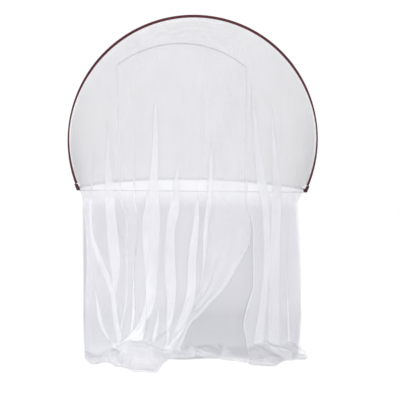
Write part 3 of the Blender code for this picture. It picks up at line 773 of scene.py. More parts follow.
@dataclass(frozen=True)
class Drape:
    """How the front netting runs from the bow over the tabletop's edge and down to the floor."""

    bow_radius: float = 0.602
    bow_height: float = 0.238
    lip_height: float = 0.0345
    top_radius: float = 0.590
    top_offset: float = 0.00055
    sewn_in: float = 0.0085
    sewn_shares: tuple[float, ...] = (1.0, 0.5)
    table_reach: float = 0.288
    table_clearance: float = 0.004
    drop: float = 0.730
    lean: float = 0.012
    left: float = 0.518
    right: float = 0.459
    floor_clearance: float = 0.0015
    sag: float = 0.020
    sag_drop: float = 0.25
    edge_round: float = 0.030
    floor_round: float = 0.080
    gap: float = 0.0006
    arch_inset: float = 0.099
    arch_lowering: float = 0.030
    arch_x: float = -0.066
    left_top_x: float = -0.377
    right_top_x: float = 0.241
    puddle_reach: float = 0.249
    slope_rows: int = 110
    turn_rows: int = 8
    fall_rows: int = 140
    floor_turn_rows: int = 10
    floor_rows: int = 110
    path_steps: tuple[float, ...] = (0.0, 0.42, 0.45, 0.48, 0.72, 0.75, 0.78, 1.0)
    path_shares: tuple[float, ...] = (0.0, 1.0, 1.012, 1.0, 0.22, 0.208, 0.22, 0.80)
    path_levels: tuple[float, ...] = (2.0, 2.0, 1.5, 1.0, 1.0, 0.5, 0.0, 0.0)
    roll: float = 0.0035
    roll_start: float = 0.35
    lowest_folds: float = 0.10
    folds_by_level: float = 0.45

    @property
    def width(self) -> float:
        """The skirt's width at the tabletop's edge."""
        return self.left + self.right

    @property
    def floor(self) -> float:
        """The height of the netting's lowest points."""
        return self.floor_clearance - self.drop

    @property
    def hanging_rows(self) -> int:
        """How many rows of a sheet lie between the bow's tape, or the arched seam, and the floor."""
        return self.slope_rows + self.turn_rows + self.fall_rows + self.floor_turn_rows + 2

    def turn_at(self, height: float) -> float:
        """The turn round the bow, up from its right side, at which it has a height."""
        return math.asin((height - self.bow_height) / self.bow_radius)

    def lip_points(self, turns: Array, y: float, deeper: float) -> Array:
        """Points on the lip of the bow's tape, or deeper in the tape, at turns round the bow."""
        reach = self.top_radius + deeper
        z = self.bow_height + reach * np.sin(turns)
        return np.stack((reach * np.cos(turns), np.full_like(turns, y), z), axis=1)

    def bow_points(self, shares: Array, deeper: float = 0.0) -> Array:
        """Points on the tape's lip, or deeper in the tape, for shares of the way across the skirt."""
        foot = self.turn_at(self.lip_height)
        left = math.acos(self.left_top_x / self.top_radius)
        right = math.acos(self.right_top_x / self.top_radius)
        stations = (0, LEFT_SEAM[0], RIGHT_SEAM[0], 1)
        turns = np.interp(shares, stations, (math.pi - foot, left, right, foot))
        return self.lip_points(turns, -self.top_offset, deeper)

    def sewn_rows(self, shares: Array) -> list[Array]:
        """The rows of a sheet that are sewn into the bow's tape, from the deepest."""
        return [self.bow_points(shares, self.sewn_in * share) for share in self.sewn_shares]

    def fall_points(self, across: Array, level: float, back: float = 0.0) -> Array:
        """Points on the fall at one share of the drop, for shares of the skirt's width."""
        y = np.full_like(across, back - self.table_reach - self.lean * level)
        z = np.full_like(across, self.table_clearance + (self.floor - self.table_clearance) * level)
        return np.stack((self.width * across - self.left, y, z), axis=1)

    def slope_lengths(self, shares: Array) -> Array:
        """Lengths of the slope from the bow to the tabletop's edge."""
        return np.linalg.norm(self.fall_points(shares, 0.0) - self.bow_points(shares), axis=1)

    def arch_share(self, shares: Array, below: float = 0.0) -> Array:
        """How far down the slope the arched seam lies, or a length below it."""
        top = self.bow_points(shares)
        radius = self.bow_radius - self.arch_inset
        run = np.clip((top[:, 0] - self.arch_x) / radius, -1, 1)
        height = self.bow_height - self.arch_lowering + radius * np.sqrt(1 - run**2)
        share = (top[:, 2] - height) / (top[:, 2] - self.table_clearance)
        return share + below / self.slope_lengths(shares)

    def slope_points(self, shares: Array, down: Array, back: float = 0.0) -> Array:
        """Points on the slope from the bow to the tabletop's edge; down runs from 0 to 1."""
        top = self.bow_points(shares)
        points = top + (self.fall_points(shares, 0.0, back) - top) * down[:, None]
        sag = self.sag * 4 * down * (1 - down) * (top[:, 2] / (self.bow_height + self.bow_radius))
        points[:, 1] += sag
        points[:, 2] -= sag * self.sag_drop
        return points

    def shares_at(self, shares: Array, lines: Sequence[Line], level: float) -> Array:
        """Where shares of the cloth lie across the skirt, at one share of the drop."""
        across = [float(smooth_curve(level, LEVELS, line[:-1])) for line in lines]
        return np.interp(shares, [line[0] for line in lines], across)

    def toe_points(self, shares: Array, lines: Sequence[Line], floor: Array) -> Array:
        """The ends of the netting on the floor, in front of points at the foot of the fall."""
        across = np.interp(shares, [line[0] for line in lines], [line[-1] for line in lines])
        reach = np.maximum(self.puddle_reach * PUDDLE.reach(across), self.floor_round)
        reach = reach * (1 + PUDDLE.toe_waves.over(across, across * 0))
        reach = np.minimum(reach, self.puddle_reach + PUDDLE.past_reach)
        return np.stack((self.width * across - self.left, floor[:, 1] - reach, floor[:, 2]), axis=1)

    def grid(
        self, shares: Array, lines: Sequence[Line], start: Array, back: float, from_bow: bool
    ) -> Array:
        """Rows of points down a hanging sheet, before its folds.

        Args:
            shares: the sheet's columns, as shares of the cloth's way across.
            lines: the lines down the fall between which the sheet hangs.
            start: where its top lies on the slope, for each column.
            back: how far behind the outer netting it hangs.
            from_bow: whether its top is sewn into the bow's tape.

        Returns:
            The points by row and column.
        """
        cut = 1 - self.edge_round / self.slope_lengths(shares)
        steps = np.linspace(0, 1, self.slope_rows + 1)
        slope = np.array([self.slope_points(shares, start + (cut - start) * step, back) for step in steps])
        first, last = self.edge_round / self.drop, 1 - self.floor_round / self.drop
        falls = np.array([
            self.fall_points(self.shares_at(shares, lines, level), level, back)
            for level in np.linspace(first, last, self.fall_rows + 1)
        ])
        edge_turn = self.turned(slope[-1], self.fall_points(shares, 0.0, back), falls[0], self.turn_rows)
        floor = self.fall_points(self.shares_at(shares, lines, 1.0), 1.0, back)
        toe = self.toe_points(shares, lines, floor)
        run = np.linalg.norm(toe - floor, axis=1)[:, None]
        out = floor + (toe - floor) * self.floor_round / 2 / run
        floor_turn = self.turned(falls[-1], floor, out, self.floor_turn_rows)
        spread = np.array([out + (toe - out) * share + (0, 0, rise) for share, rise in self.floor_path()])
        sewn = [row[None] for row in self.sewn_rows(shares)] if from_bow else []
        return np.concatenate((*sewn, slope, edge_turn, falls, floor_turn, spread))

    def floor_path(self) -> list[tuple[float, float]]:
        """Each floor row's share of the way to the toe and its height: out, back under and out again."""
        rows = []
        for step in np.linspace(0, 1, self.floor_rows + 1):
            share = float(np.interp(step, self.path_steps, self.path_shares))
            level = float(np.interp(step, self.path_steps, self.path_levels))
            start = float(smooth_step(share / self.roll_start)) if level == 2 else 1.0
            rows.append((share, self.roll * level * start))
        return rows

    def layer_share(self, from_bow: bool) -> tuple[Array, Array]:
        """Each row's share of the folds' height, and its share of the way from the fall to the toe."""
        steps = np.linspace(0, 1, self.floor_rows + 1)
        levels = np.interp(steps, self.path_steps, self.path_levels)
        above = self.hanging_rows + (len(self.sewn_shares) if from_bow else 0)
        layers = np.concatenate((np.ones(above), self.lowest_folds + self.folds_by_level * levels))
        toe_shares = np.concatenate((np.zeros(above), np.interp(steps, self.path_steps, self.path_shares)))
        return layers[:, None], toe_shares[:, None]

    @staticmethod
    def turned(before: Array, corner: Array, after: Array, rows: int) -> Array:
        """Rows of points that turn a corner."""
        steps = np.linspace(0, 1, rows + 2)[1:-1, None, None]
        return (1 - steps) ** 2 * before + 2 * steps * (1 - steps) * corner + steps**2 * after


# Lines down the fall, as shares of the way across the skirt at these shares of the drop, and last at
# the toe on the floor
LEVELS = (0.0, 0.14, 0.27, 0.41, 0.55, 0.68, 0.82, 0.90, 1.0)
LEFT_EDGE = (0.0, 0.007, 0.013, 0.016, 0.012, 0.009, 0.008, 0.008, 0.008, 0.018)
LEFT_SEAM = (0.172, 0.205, 0.202, 0.205, 0.205, 0.198, 0.181, 0.179, 0.177, 0.126)
FIRST_FOLD = (0.235, 0.252, 0.274, 0.284, 0.293, 0.296, 0.254, 0.218, 0.205, 0.172)
SECOND_FOLD = (0.361, 0.358, 0.352, 0.343, 0.333, 0.329, 0.310, 0.269, 0.250, 0.223)
MIDDLE_FOLD = (0.423, 0.423, 0.420, 0.418, 0.423, 0.410, 0.372, 0.330, 0.300, 0.325)
FOURTH_FOLD = (0.533, 0.530, 0.522, 0.518, 0.510, 0.480, 0.435, 0.400, 0.370, 0.438)
LEAF_EDGE = (0.758, 0.783, 0.779, 0.727, 0.671, 0.586, 0.505, 0.479, 0.443, 0.602)
INNER_EDGE = (0.571, 0.571, 0.571, 0.569, 0.561, 0.540, 0.470, 0.440, 0.405, 0.443)
RIGHT_SEAM = (0.758, 0.788, 0.795, 0.798, 0.801, 0.776, 0.762, 0.779, 0.788, 0.771)
RIGHT_FOLD = (0.843, 0.842, 0.843, 0.845, 0.847, 0.846, 0.850, 0.852, 0.853, 0.868)
RIGHT_LAST_FOLD = (0.945, 0.946, 0.949, 0.952, 0.956, 0.960, 0.964, 0.966, 0.967, 0.991)
RIGHT_EDGE = (1.0, 1.013, 1.021, 1.029, 1.034, 1.037, 1.040, 1.041, 1.041, 1.064)


@dataclass(frozen=True)
class Puddle:
    """The netting on the floor: how far it reaches, by shares across the skirt, and how it is crumpled."""

    reaches: tuple[tuple[float, float], ...] = (
        (0.0, 0.10), (0.043, 0.51), (0.121, 0.47), (0.155, 0.77), (0.190, 0.87), (0.343, 1.0),
        (0.399, 0.40), (0.527, 0.34), (0.601, 0.24), (0.654, 0.38), (0.735, 0.51), (0.802, 0.68),
        (0.903, 0.67), (0.948, 0.42), (1.0, 0.37), (1.053, 0.10), (1.09, 0.06),
    )
    heaps: tuple[Mound, ...] = (
        Mound((-0.270, -0.345), (0.110, 0.095), 0.040),
        Mound((0.045, -0.325), (0.070, 0.050), 0.048),
        Mound((0.180, -0.325), (0.060, 0.045), 0.024),
        Mound((0.310, -0.335), (0.070, 0.075), 0.030),
        Mound((0.440, -0.330), (0.050, 0.060), 0.040),
    )
    outward: tuple[Ridges, ...] = (
        Ridges(0.034, (0.075, 0.30), 21),
        Ridges(0.004, (0.028, 0.14), 22),
    )
    crossing: Ridges = Ridges(0.012, (0.16, 0.070), 23, power=3)
    crossing_slant: tuple[float, float] = (0.5, 0.3)
    toe_waves: Waves = Waves(0.04, (0.06, 1.0), 11)
    past_reach: float = 0.006
    depth: float = 0.25
    fan_x: float = -0.34
    fan: float = 0.35
    toe_loss: float = 0.65
    foot_share: float = 0.6
    foot_depth: float = 0.25

    def reach(self, across: Array) -> Array:
        """How far the netting reaches over the floor, as a share of its longest reach."""
        return smooth_curve(across, *zip(*self.reaches))

    def heights(self, points: Array) -> Array:
        """How high the netting stands above the floor, by its place on the floor."""
        x, y = points[:, :, 0], points[:, :, 1]
        out = np.clip((-DRAPE.table_reach - DRAPE.lean - y) / self.depth, 0, 1)
        fanned = x - self.fan * (x - self.fan_x) * out
        height = sum(ridges.over(fanned, y) for ridges in self.outward)
        slant_x, slant_y = self.crossing_slant
        height = height + self.crossing.over(x + slant_x * y, y - slant_y * x)
        foot = self.foot_share + (1 - self.foot_share) * smooth_step(out / self.foot_depth)
        height = height * (1 - self.toe_loss * smooth_step(out)) * foot
        return height + sum(heap.over(x, y) for heap in self.heaps)


DRAPE = Drape()
PUDDLE = Puddle()


def beside(line: Line, distance: float) -> Line:
    """A line down the fall, moved sideways by a length."""
    return tuple(share + distance / DRAPE.width for share in line)


@dataclass(frozen=True)
class Pleat:
    """A fold that is laid over, so that the netting lies three times over itself.

    Its path holds, from the top down, heights, places across and the width that lies three times over.
    """

    path: tuple[tuple[float, float, float], ...]
    side: int = 1
    depth: float = 0.007
    turn: float = 0.6
    draw: float = 1.2
    back: float = 0.25
    rise_share: float = 0.8
    back_run: float = 0.5
    thinnest: float = 0.003
    begun_by: float = 0.018
    full_width: float = 0.045
    thin_power: float = 1.5

    def at(self, heights: Array) -> tuple[Array, Array]:
        """The pleat's place across and its width at each height."""
        levels, places, widths = zip(*sorted(self.path))
        return smooth_curve(heights, levels, places), np.interp(heights, levels, widths)

    def shape(self, run: Array, width: Array) -> tuple[Array, Array]:
        """How far the pleat moves the netting.

        Args:
            run: distances across from the pleat's middle.
            width: the width that lies three times over.

        Returns:
            The moves sideways and outwards.
        """
        width = np.maximum(width, 1e-4)
        r = run * self.side / width
        half, reach = self.turn / 2, (1 + self.turn) / 2
        before = r < -half
        within = ~before & (r < half)
        lead = smooth_step((r + half + self.draw) / self.draw)
        turning = smooth_step((r + half) / self.turn)
        trail = 1 - smooth_step((r - half) / self.draw)
        over = np.where(before, reach * lead, np.where(within, reach * (1 - 2 * turning), -reach * trail))
        rise = smooth_step((r + half + self.draw) / (self.rise_share * self.draw))
        fall = self.back * (1 - smooth_step((r - half) / self.back_run))
        out = np.where(before, rise, np.where(within, 1 - (1 - self.back) * turning, fall))
        begun = smooth_step((width - self.thinnest) / self.begun_by)
        full = np.minimum(width / self.full_width, 1.0) ** self.thin_power
        return over * width * self.side * begun, out * self.depth * begun * full


# Each pleat's heights, places across and widths, as the photograph shows its line
LEFT_PLEATS = (
    Pleat(((0.45, -0.468, 0.0), (0.32, -0.470, 0.010), (0.10, -0.478, 0.016), (-0.10, -0.484, 0.018),
           (-0.156, -0.480, 0.020), (-0.223, -0.460, 0.026), (-0.357, -0.412, 0.038),
           (-0.433, -0.394, 0.040), (-0.55, -0.382, 0.038), (-0.66, -0.366, 0.034))),
    Pleat(((0.45, -0.414, 0.0), (0.30, -0.412, 0.014), (0.0, -0.398, 0.040), (-0.2, -0.380, 0.050),
           (-0.4, -0.362, 0.036), (-0.65, -0.356, 0.026)), -1),
    Pleat(((-0.30, -0.474, 0.0), (-0.45, -0.456, 0.014), (-0.58, -0.432, 0.022), (-0.68, -0.392, 0.024))),
)
LEAF_PLEATS = (
    Pleat(((0.52, -0.192, 0.0), (0.40, -0.192, 0.018), (0.20, -0.194, 0.028), (0.06, -0.202, 0.040),
           (0.0, -0.206, 0.058), (-0.08, -0.210, 0.076), (-0.14, -0.212, 0.080), (-0.28, -0.208, 0.066),
           (-0.38, -0.207, 0.054), (-0.48, -0.214, 0.042), (-0.56, -0.236, 0.040), (-0.62, -0.266, 0.040),
           (-0.69, -0.312, 0.042)), -1),
    Pleat(((0.22, -0.090, 0.0), (0.12, -0.094, 0.018), (0.02, -0.100, 0.034),
           (-0.08, -0.109, 0.058), (-0.33, -0.116, 0.056), (-0.45, -0.112, 0.042), (-0.58, -0.122, 0.026),
           (-0.70, -0.150, 0.022))),
    Pleat(((0.14, -0.002, 0.0), (-0.079, -0.003, 0.026), (-0.252, -0.018, 0.036), (-0.42, -0.022, 0.040),
           (-0.52, -0.040, 0.044), (-0.61, -0.078, 0.040), (-0.70, -0.124, 0.036))),
    Pleat(((-0.40, -0.160, 0.0), (-0.50, -0.166, 0.014), (-0.60, -0.182, 0.020),
           (-0.70, -0.200, 0.020)), -1),
    Pleat(((0.34, 0.066, 0.0), (0.20, 0.064, 0.016), (0.10, 0.061, 0.022), (0.0, 0.052, 0.024),
           (-0.078, 0.043, 0.024), (-0.28, 0.036, 0.018), (-0.45, 0.022, 0.014), (-0.6, -0.02, 0.012)), -1),
    Pleat(((0.33, -0.288, 0.0), (0.20, -0.287, 0.012), (0.0, -0.288, 0.016), (-0.2, -0.290, 0.016),
           (-0.40, -0.287, 0.017), (-0.55, -0.290, 0.020), (-0.68, -0.328, 0.022))),
    Pleat(((-0.30, -0.245, 0.0), (-0.50, -0.250, 0.014), (-0.60, -0.270, 0.024), (-0.66, -0.292, 0.030),
           (-0.71, -0.312, 0.032))),
)
RIGHT_PLEATS = (
    Pleat(((0.62, 0.258, 0.0), (0.50, 0.264, 0.016), (0.182, 0.288, 0.040), (0.0, 0.304, 0.050),
           (-0.3, 0.311, 0.052), (-0.5, 0.305, 0.050), (-0.7, 0.295, 0.046)), -1),
    Pleat(((0.50, 0.352, 0.0), (0.40, 0.358, 0.014), (0.16, 0.368, 0.030), (0.0, 0.370, 0.052),
           (-0.3, 0.374, 0.060), (-0.5, 0.373, 0.058), (-0.7, 0.374, 0.050))),
    Pleat(((0.28, 0.417, 0.0), (0.10, 0.424, 0.008), (-0.1, 0.432, 0.012), (-0.4, 0.440, 0.016),
           (-0.7, 0.448, 0.018))),
)


@dataclass
class NetSheet:
    """One hanging sheet of the front netting, with its folds, and hems along its free edges."""

    name: str
    lines: tuple[Line, ...]
    columns: int
    flat: tuple[float, float]
    pleats: tuple[Pleat, ...] = ()
    swells: tuple[Mound, ...] = ()
    sewn_left: bool = False
    sewn_right: bool = False
    under_arch: bool = False
    back: float = 0.0
    lift: float = 0.0
    seed: int = 1
    fullness: float = 1.05
    gather: float = 0.052
    gather_drift: Waves = Waves(0.7, (0.11, 0.35), 3)
    gather_depth: float = 0.5
    gather_limit: float = 0.009
    tightest: float = 3.0
    lying_gather_loss: float = 0.4
    lying_swell_loss: float = 0.7
    creases: Waves = Waves(0.0020, (0.030, 0.16))
    crinkles: Waves = Waves(0.0007, (0.009, 0.05), 7)
    creased_by: float = 0.30
    crinkled_by: float = 0.02
    seam_flat: float = 0.006
    seam_rise: float = 0.030
    pleats_end: float = 0.85
    hem_rows: int = 4
    hem_lift: float = 0.0005
    rests_on: tuple[str, ...] = ("bow_tape",)
    finish: Finish = Finish.NETTING

    def base(self) -> tuple[Array, Array]:
        """The sheet's columns, as shares across the cloth, and its points before folding."""
        shares = np.linspace(self.lines[0][0], self.lines[-1][0], self.columns + 1)
        start = DRAPE.arch_share(shares, DRAPE.gap) if self.under_arch else np.zeros_like(shares)
        return shares, DRAPE.grid(shares, self.lines, start, self.back, not self.under_arch)

    def seam_mask(self, run: Array) -> Array:
        """0 along the sewn seams and 1 away from them."""
        mask = np.ones_like(run)
        if self.sewn_left:
            mask *= smooth_step((run - self.seam_flat) / self.seam_rise)
        if self.sewn_right:
            mask *= smooth_step((run[:, -1:] - run - self.seam_flat) / self.seam_rise)
        return mask

    def laid_over(self, shares: Array, grid: Array, run: Array, lying: Array) -> tuple[Array, Array]:
        """How far the pleats move the sheet.

        Args:
            shares: the sheet's columns, as shares across the cloth.
            grid: its points before folding.
            run: lengths along its rows.
            lying: 1 where it lies on the floor and 0 where it hangs.

        Returns:
            The moves sideways and outwards.
        """
        over, out = np.zeros_like(run), np.zeros_like(run)
        foot = int(np.argmax(lying.min(axis=1) > 0.5))
        for pleat in self.pleats:
            place, width = pleat.at(grid[:, :, 2])
            share = np.array([np.interp(0.0, row, shares) for row in grid[:, :, 0] - place])
            share[foot:] = share[foot - 1]
            centre = np.array([np.interp(s, shares, row) for s, row in zip(share, run)])
            sideways, outwards = pleat.shape(run - centre[:, None], width)
            over += sideways
            out += outwards
        return over, out

    def folded(self) -> Array:
        """The sheet's points with all its folds."""
        shares, grid = self.base()
        normals, side = grid_normals(grid), unit(np.gradient(grid, axis=1))
        run, down = lengths_along(grid, 1), lengths_along(grid, 0)
        lying = smooth_step((DRAPE.floor_round + DRAPE.floor - grid[:, :, 2]) / DRAPE.floor_round)
        mask = self.seam_mask(run)
        layers, toe_share = DRAPE.layer_share(not self.under_arch)
        over, out = self.laid_over(shares, grid, run, lying)
        over *= 1 - smooth_step(toe_share / self.pleats_end)
        for swell in self.swells:
            out += swell.over(grid[:, :, 0], grid[:, :, 2]) * (1 - self.lying_swell_loss * lying)
        cloth = shares[None, :] * DRAPE.width + 0 * down
        out += self.gathers(shares, run, down, lying)
        out += smooth_step(down / self.creased_by) * self.creases.over(cloth, down, self.seed)
        out += smooth_step(down / self.crinkled_by) * self.crinkles.over(cloth, down, self.seed)
        moves = normals * (1 - lying)[..., None]
        moves[:, :, 2] += lying
        folded = grid + moves * (out * mask * layers)[..., None] + side * (over * mask)[..., None]
        folded[:, :, 2] += lying * layers * PUDDLE.heights(folded)
        folded[:, :, 2] = np.maximum(folded[:, :, 2], DRAPE.floor)
        folded[:, :, 2] += self.lift * lying
        return folded

    def gathers(self, shares: Array, run: Array, down: Array, lying: Array) -> Array:
        """Small folds where the cloth is drawn together, deep enough to take up its width."""
        spacing = np.maximum(np.gradient(run, axis=1), 1e-6)
        full = self.fullness * DRAPE.width * (shares[1] - shares[0])
        tight = np.clip(full / spacing, 1.0, self.tightest)
        place = shares[None, :] * DRAPE.width
        drift = self.gather_drift.over(place + 0 * down, down, self.seed)
        wave = np.sin(2 * np.pi * (place / self.gather + drift))
        depth = self.gather / tight / (2 * np.pi) * math.sqrt(2) * np.sqrt(tight**2 - 1)
        depth = np.minimum(self.gather_depth * depth, self.gather_limit) * (0.5 + 0.5 * wave)
        return depth * (1 - self.lying_gather_loss * lying)

    def make(self) -> None:
        """Builds the sheet and its hems in place of its CAD sheet."""
        points = self.folded()
        mesh = cloth_mesh(self.name, points)
        piece = add_piece(f"{self.name}_cloth", mesh, self.finish, FRONT_FRAME)
        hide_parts(self.name)
        hems = self.hems(points)

    def hems(self, points: Array) -> list[bpy.types.Object]:
        """Hems along the foot and the sides that aren't sewn to another sheet, except the left side of a
        sheet that hangs behind.
        """
        everything = slice(None)
        cuts = {"foot_hem": (slice(-self.hem_rows - 1, None), everything)}
        if not self.sewn_left and self.back == 0:
            cuts["side_hem"] = (everything, slice(self.hem_rows))
        if not self.sewn_right:
            cuts["side_hem"] = (everything, slice(-self.hem_rows, None))
        lifted = points + grid_normals(points) * self.hem_lift
        made = []
        for word, cut in cuts.items():
            mesh = cloth_mesh(f"{self.name}_{word}", lifted[cut])
            made.append(add_piece(f"{self.name}_{word}", mesh, Finish.HEM, FRONT_FRAME))
        return made


@dataclass
class FrontNetting:
    """The front netting: both curtains, the two door leaves, the gable and the tapes on their seams."""

    tape_width: float = 0.009
    tape_lift: float = 0.0016
    tape_columns: int = 6
    arch_tape_width: float = 0.006
    arch_tape_back: float = 0.0010
    arch_thread_lift: float = 0.0003
    seam_thread_lift: float = 0.0002
    gable_columns: int = 260
    gable_rows: int = 60
    gable_flat: tuple[float, float] = (0.67, 0.13)
    gable_waves: tuple[Waves, ...] = (Waves(0.0005, (0.010, 0.06), 71), Waves(0.0008, (0.04, 0.12), 72))
    gable_calm: float = 0.02
    arch_calm: float = 0.03
    leaf_spacing: float = 0.014
    leaf_lift: float = 0.006
    stitches: Stitching = field(default_factory=lambda: Stitching(0.005, 0.0003))

    def sheets(self) -> list[NetSheet]:
        """The four hanging sheets."""
        half = DRAPE.gap / 2
        middle = (FIRST_FOLD, SECOND_FOLD, MIDDLE_FOLD, FOURTH_FOLD)
        leaf = {"under_arch": True, "rests_on": ("door_arch_tape",)}
        return [
            NetSheet(
                "left_curtain", (LEFT_EDGE, beside(LEFT_SEAM, -half)), 130, (0.30, 1.95), LEFT_PLEATS,
                sewn_right=True, seed=31,
            ),
            NetSheet(
                "door_leaf_outer", (beside(LEFT_SEAM, half), *middle, beside(LEAF_EDGE, -half)), 250,
                (0.78, 1.90), LEAF_PLEATS, swells=(Mound((-0.300, -0.690), (0.075, 0.075), 0.012),),
                sewn_left=True, lift=self.leaf_lift, seed=41, **leaf,
            ),
            NetSheet(
                "door_leaf_inner", (INNER_EDGE, beside(RIGHT_SEAM, -half)), 110, (0.22, 1.75),
                sewn_right=True, back=self.leaf_spacing, seed=51, finish=Finish.INNER_NETTING, **leaf,
            ),
            NetSheet(
                "right_curtain", (beside(RIGHT_SEAM, half), RIGHT_FOLD, RIGHT_LAST_FOLD, RIGHT_EDGE), 190,
                (0.45, 1.95), RIGHT_PLEATS, sewn_left=True, seed=61,
            ),
        ]

    def make_gable(self) -> None:
        """The netting between the bow and the arched seam."""
        half = DRAPE.gap / 2 / DRAPE.width
        shares = np.linspace(LEFT_SEAM[0] + half, RIGHT_SEAM[0] - half, self.gable_columns + 1)
        bottom = DRAPE.arch_share(shares, -DRAPE.gap)
        downs = [bottom * k / self.gable_rows for k in range(self.gable_rows + 1)]
        rows = [DRAPE.slope_points(shares, down) for down in downs]
        grid = np.array(DRAPE.sewn_rows(shares) + rows)
        down = lengths_along(grid, 0)
        place = shares[None, :] * DRAPE.width + 0 * down
        run = place - place.min()
        free = calm_ends(down - DRAPE.sewn_in, down[-1:] - DRAPE.sewn_in, self.gable_calm, self.arch_calm)
        free = free * calm_ends(run, run.max(), self.gable_calm, self.gable_calm)
        ripple = sum(waves.over(place, down) for waves in self.gable_waves)
        mesh = cloth_mesh("gable_net", grid + grid_normals(grid) * (ripple * free)[..., None])
        piece = add_piece("gable_net_cloth", mesh, Finish.NETTING, FRONT_FRAME)
        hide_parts("gable_net")

    def make_arch_tape(self) -> None:
        """The grey tape over the arched seam, behind the netting, with one row of stitches."""
        shares = np.linspace(LEFT_SEAM[0], RIGHT_SEAM[0], self.gable_columns + 1)
        half = self.arch_tape_width / 2
        reaches = np.linspace(-half, half, 5)
        grid = np.array([DRAPE.slope_points(shares, DRAPE.arch_share(shares, reach)) for reach in reaches])
        normals = grid_normals(grid)
        mesh = cloth_mesh("door_arch_tape", np.swapaxes(grid - normals * self.arch_tape_back, 0, 1))
        tape = add_piece("door_arch_tape_ribbon", mesh, Finish.ARCH, FRONT_FRAME)
        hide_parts("door_arch_tape")
        row = self.stitches.row(grid[2] + normals[2] * self.arch_thread_lift, normals[2])
        self.stitches.make("door_arch_stitches", [row], Finish.WHITE_THREAD, FRONT_FRAME, "grey_arch_tape")

    def make_seam_tape(self, name: str, line: Line, first: float, last: float) -> None:
        """An upright tape beside the door, down to the floor, with a row of stitches along each edge.

        Args:
            name: the CAD tape that it stands for.
            line: the seam's line down the fall.
            first: how far beside the seam its left edge lies.
            last: how far beside the seam its right edge lies.
        """
        lines = (beside(line, -self.tape_width), line, beside(line, self.tape_width))
        shares = np.array([side[0] for side in lines])
        start = np.full_like(shares, DRAPE.arch_share(shares, DRAPE.gap)[1])
        grid = DRAPE.grid(shares, lines, start, 0.0, False)[:DRAPE.hanging_rows + 2]
        ways = [unit(grid[:, k + 1] - grid[:, k]) for k in (0, 1)]
        reaches = np.linspace(first, last, self.tape_columns)
        ribbon = np.stack([grid[:, 1] + ways[int(reach > 0)] * reach for reach in reaches], axis=1)
        normals = grid_normals(ribbon)
        ribbon = ribbon + normals * self.tape_lift
        ribbon[:, :, 2] = np.maximum(ribbon[:, :, 2], DRAPE.floor + self.tape_lift)
        mesh = cloth_mesh(name, ribbon)
        tape = add_piece(f"{name}_ribbon", mesh, Finish.SEAM, FRONT_FRAME)
        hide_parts(name)
        threads = ribbon + normals * self.seam_thread_lift
        rows = [self.stitches.row(threads[:, k], normals[:, k]) for k in (1, -2)]
        self.stitches.make(f"{name}_stitches", rows, Finish.WHITE_THREAD, FRONT_FRAME, "white_seam_tape")

    def make(self) -> None:
        """Builds every piece of the front netting."""
        self.make_gable()
        self.make_arch_tape()
        for sheet in self.sheets():
            sheet.make()
        half = self.tape_width / 2
        self.make_seam_tape("left_seam_tape", LEFT_SEAM, -half, half)
        self.make_seam_tape("right_seam_tape", RIGHT_SEAM, DRAPE.gap, self.tape_width)


@dataclass
class BackNetting:
    """The netting between the two bows, as it hangs with the lower bow on the tabletop; the real net
    crumples when that bow folds up.
    """

    depth: float = 0.300
    start_y: float = 0.030
    foot_x: float = 0.5559
    socket: float = 0.018
    lip: float = 0.0201
    sewn_in: float = 0.005
    columns: int = 240
    rows: int = 110
    fold_height: float = 0.010
    fold_width: float = 0.4
    folds: tuple[float, ...] = (0.16, 0.33, 0.50, 0.67, 0.84)
    waves: tuple[Waves, ...] = (Waves(0.0030, (0.045, 0.22), 81), Waves(0.0012, (0.016, 0.09), 82))
    waves_width: float = 1.4
    calm_sides: float = 0.03
    calm_seams: float = 0.06
    flat: tuple[float, float] = (1.45, 0.62)

    @property
    def radius(self) -> float:
        """The lower bow's radius, from its width and depth."""
        return (self.foot_x**2 + self.depth**2) / (2 * self.depth)

    @property
    def centre_y(self) -> float:
        """The place of the lower bow's centre, front to back."""
        return self.start_y + self.depth - self.radius

    def start(self, clearance: float = 0.0) -> float:
        """The turn at which the netting, or with a clearance the tape, leaves the eye's socket."""
        return math.acos(self.foot_x / self.radius) + (self.socket + clearance) / self.radius

    def low_points(self, turns: Array, height: float) -> Array:
        """Points over the lower bow at turns round it."""
        x, y = self.radius * np.cos(turns), self.centre_y + self.radius * np.sin(turns)
        return np.stack((x, y, np.full_like(turns, height)), axis=1)

    def grid(self) -> Array:
        """The net's points, from the upper bow's tape to the lower bow's."""
        turns, bends = [
            np.linspace(math.pi - start, start, self.columns + 1)
            for start in (DRAPE.turn_at(DRAPE.lip_height), self.start())
        ]
        sewn, top = [DRAPE.lip_points(turns, DRAPE.top_offset, deeper) for deeper in (DRAPE.sewn_in, 0.0)]
        down = np.linspace(0, 1, self.rows + 1)[:, None, None]
        main = top + (self.low_points(bends, self.lip) - top) * down
        return np.concatenate(([sewn], main, [self.low_points(bends, self.lip - self.sewn_in)]))

    def make(self) -> None:
        """Builds the net in place of its CAD sheet."""
        grid = self.grid()
        down = lengths_along(grid, 0)
        share = down / down[-1:]
        across = np.linspace(0, 1, self.columns + 1)[None, :] + 0 * share
        width = self.fold_width / len(self.folds)
        crest = np.max([np.exp(-(((across - fold) / width) ** 2)) for fold in self.folds], axis=0)
        free = calm_ends(share, 1.0, self.calm_seams, self.calm_seams)
        free = free * calm_ends(across, 1.0, self.calm_sides, self.calm_sides)
        ripple = sum(waves.over(across * self.waves_width, down) for waves in self.waves)
        grid[:, :, 1] += free * ripple - self.fold_height * np.sin(math.pi * share) * crest
        mesh = cloth_mesh("back_net", grid[:, ::-1])
        # The back net's darker colour is painted shade.
        piece = add_piece("back_net_cloth", mesh, Finish.BACK_NETTING_IN_PAINTED_SHADE, FRONT_FRAME)
        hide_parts("back_net")
        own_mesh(piece)


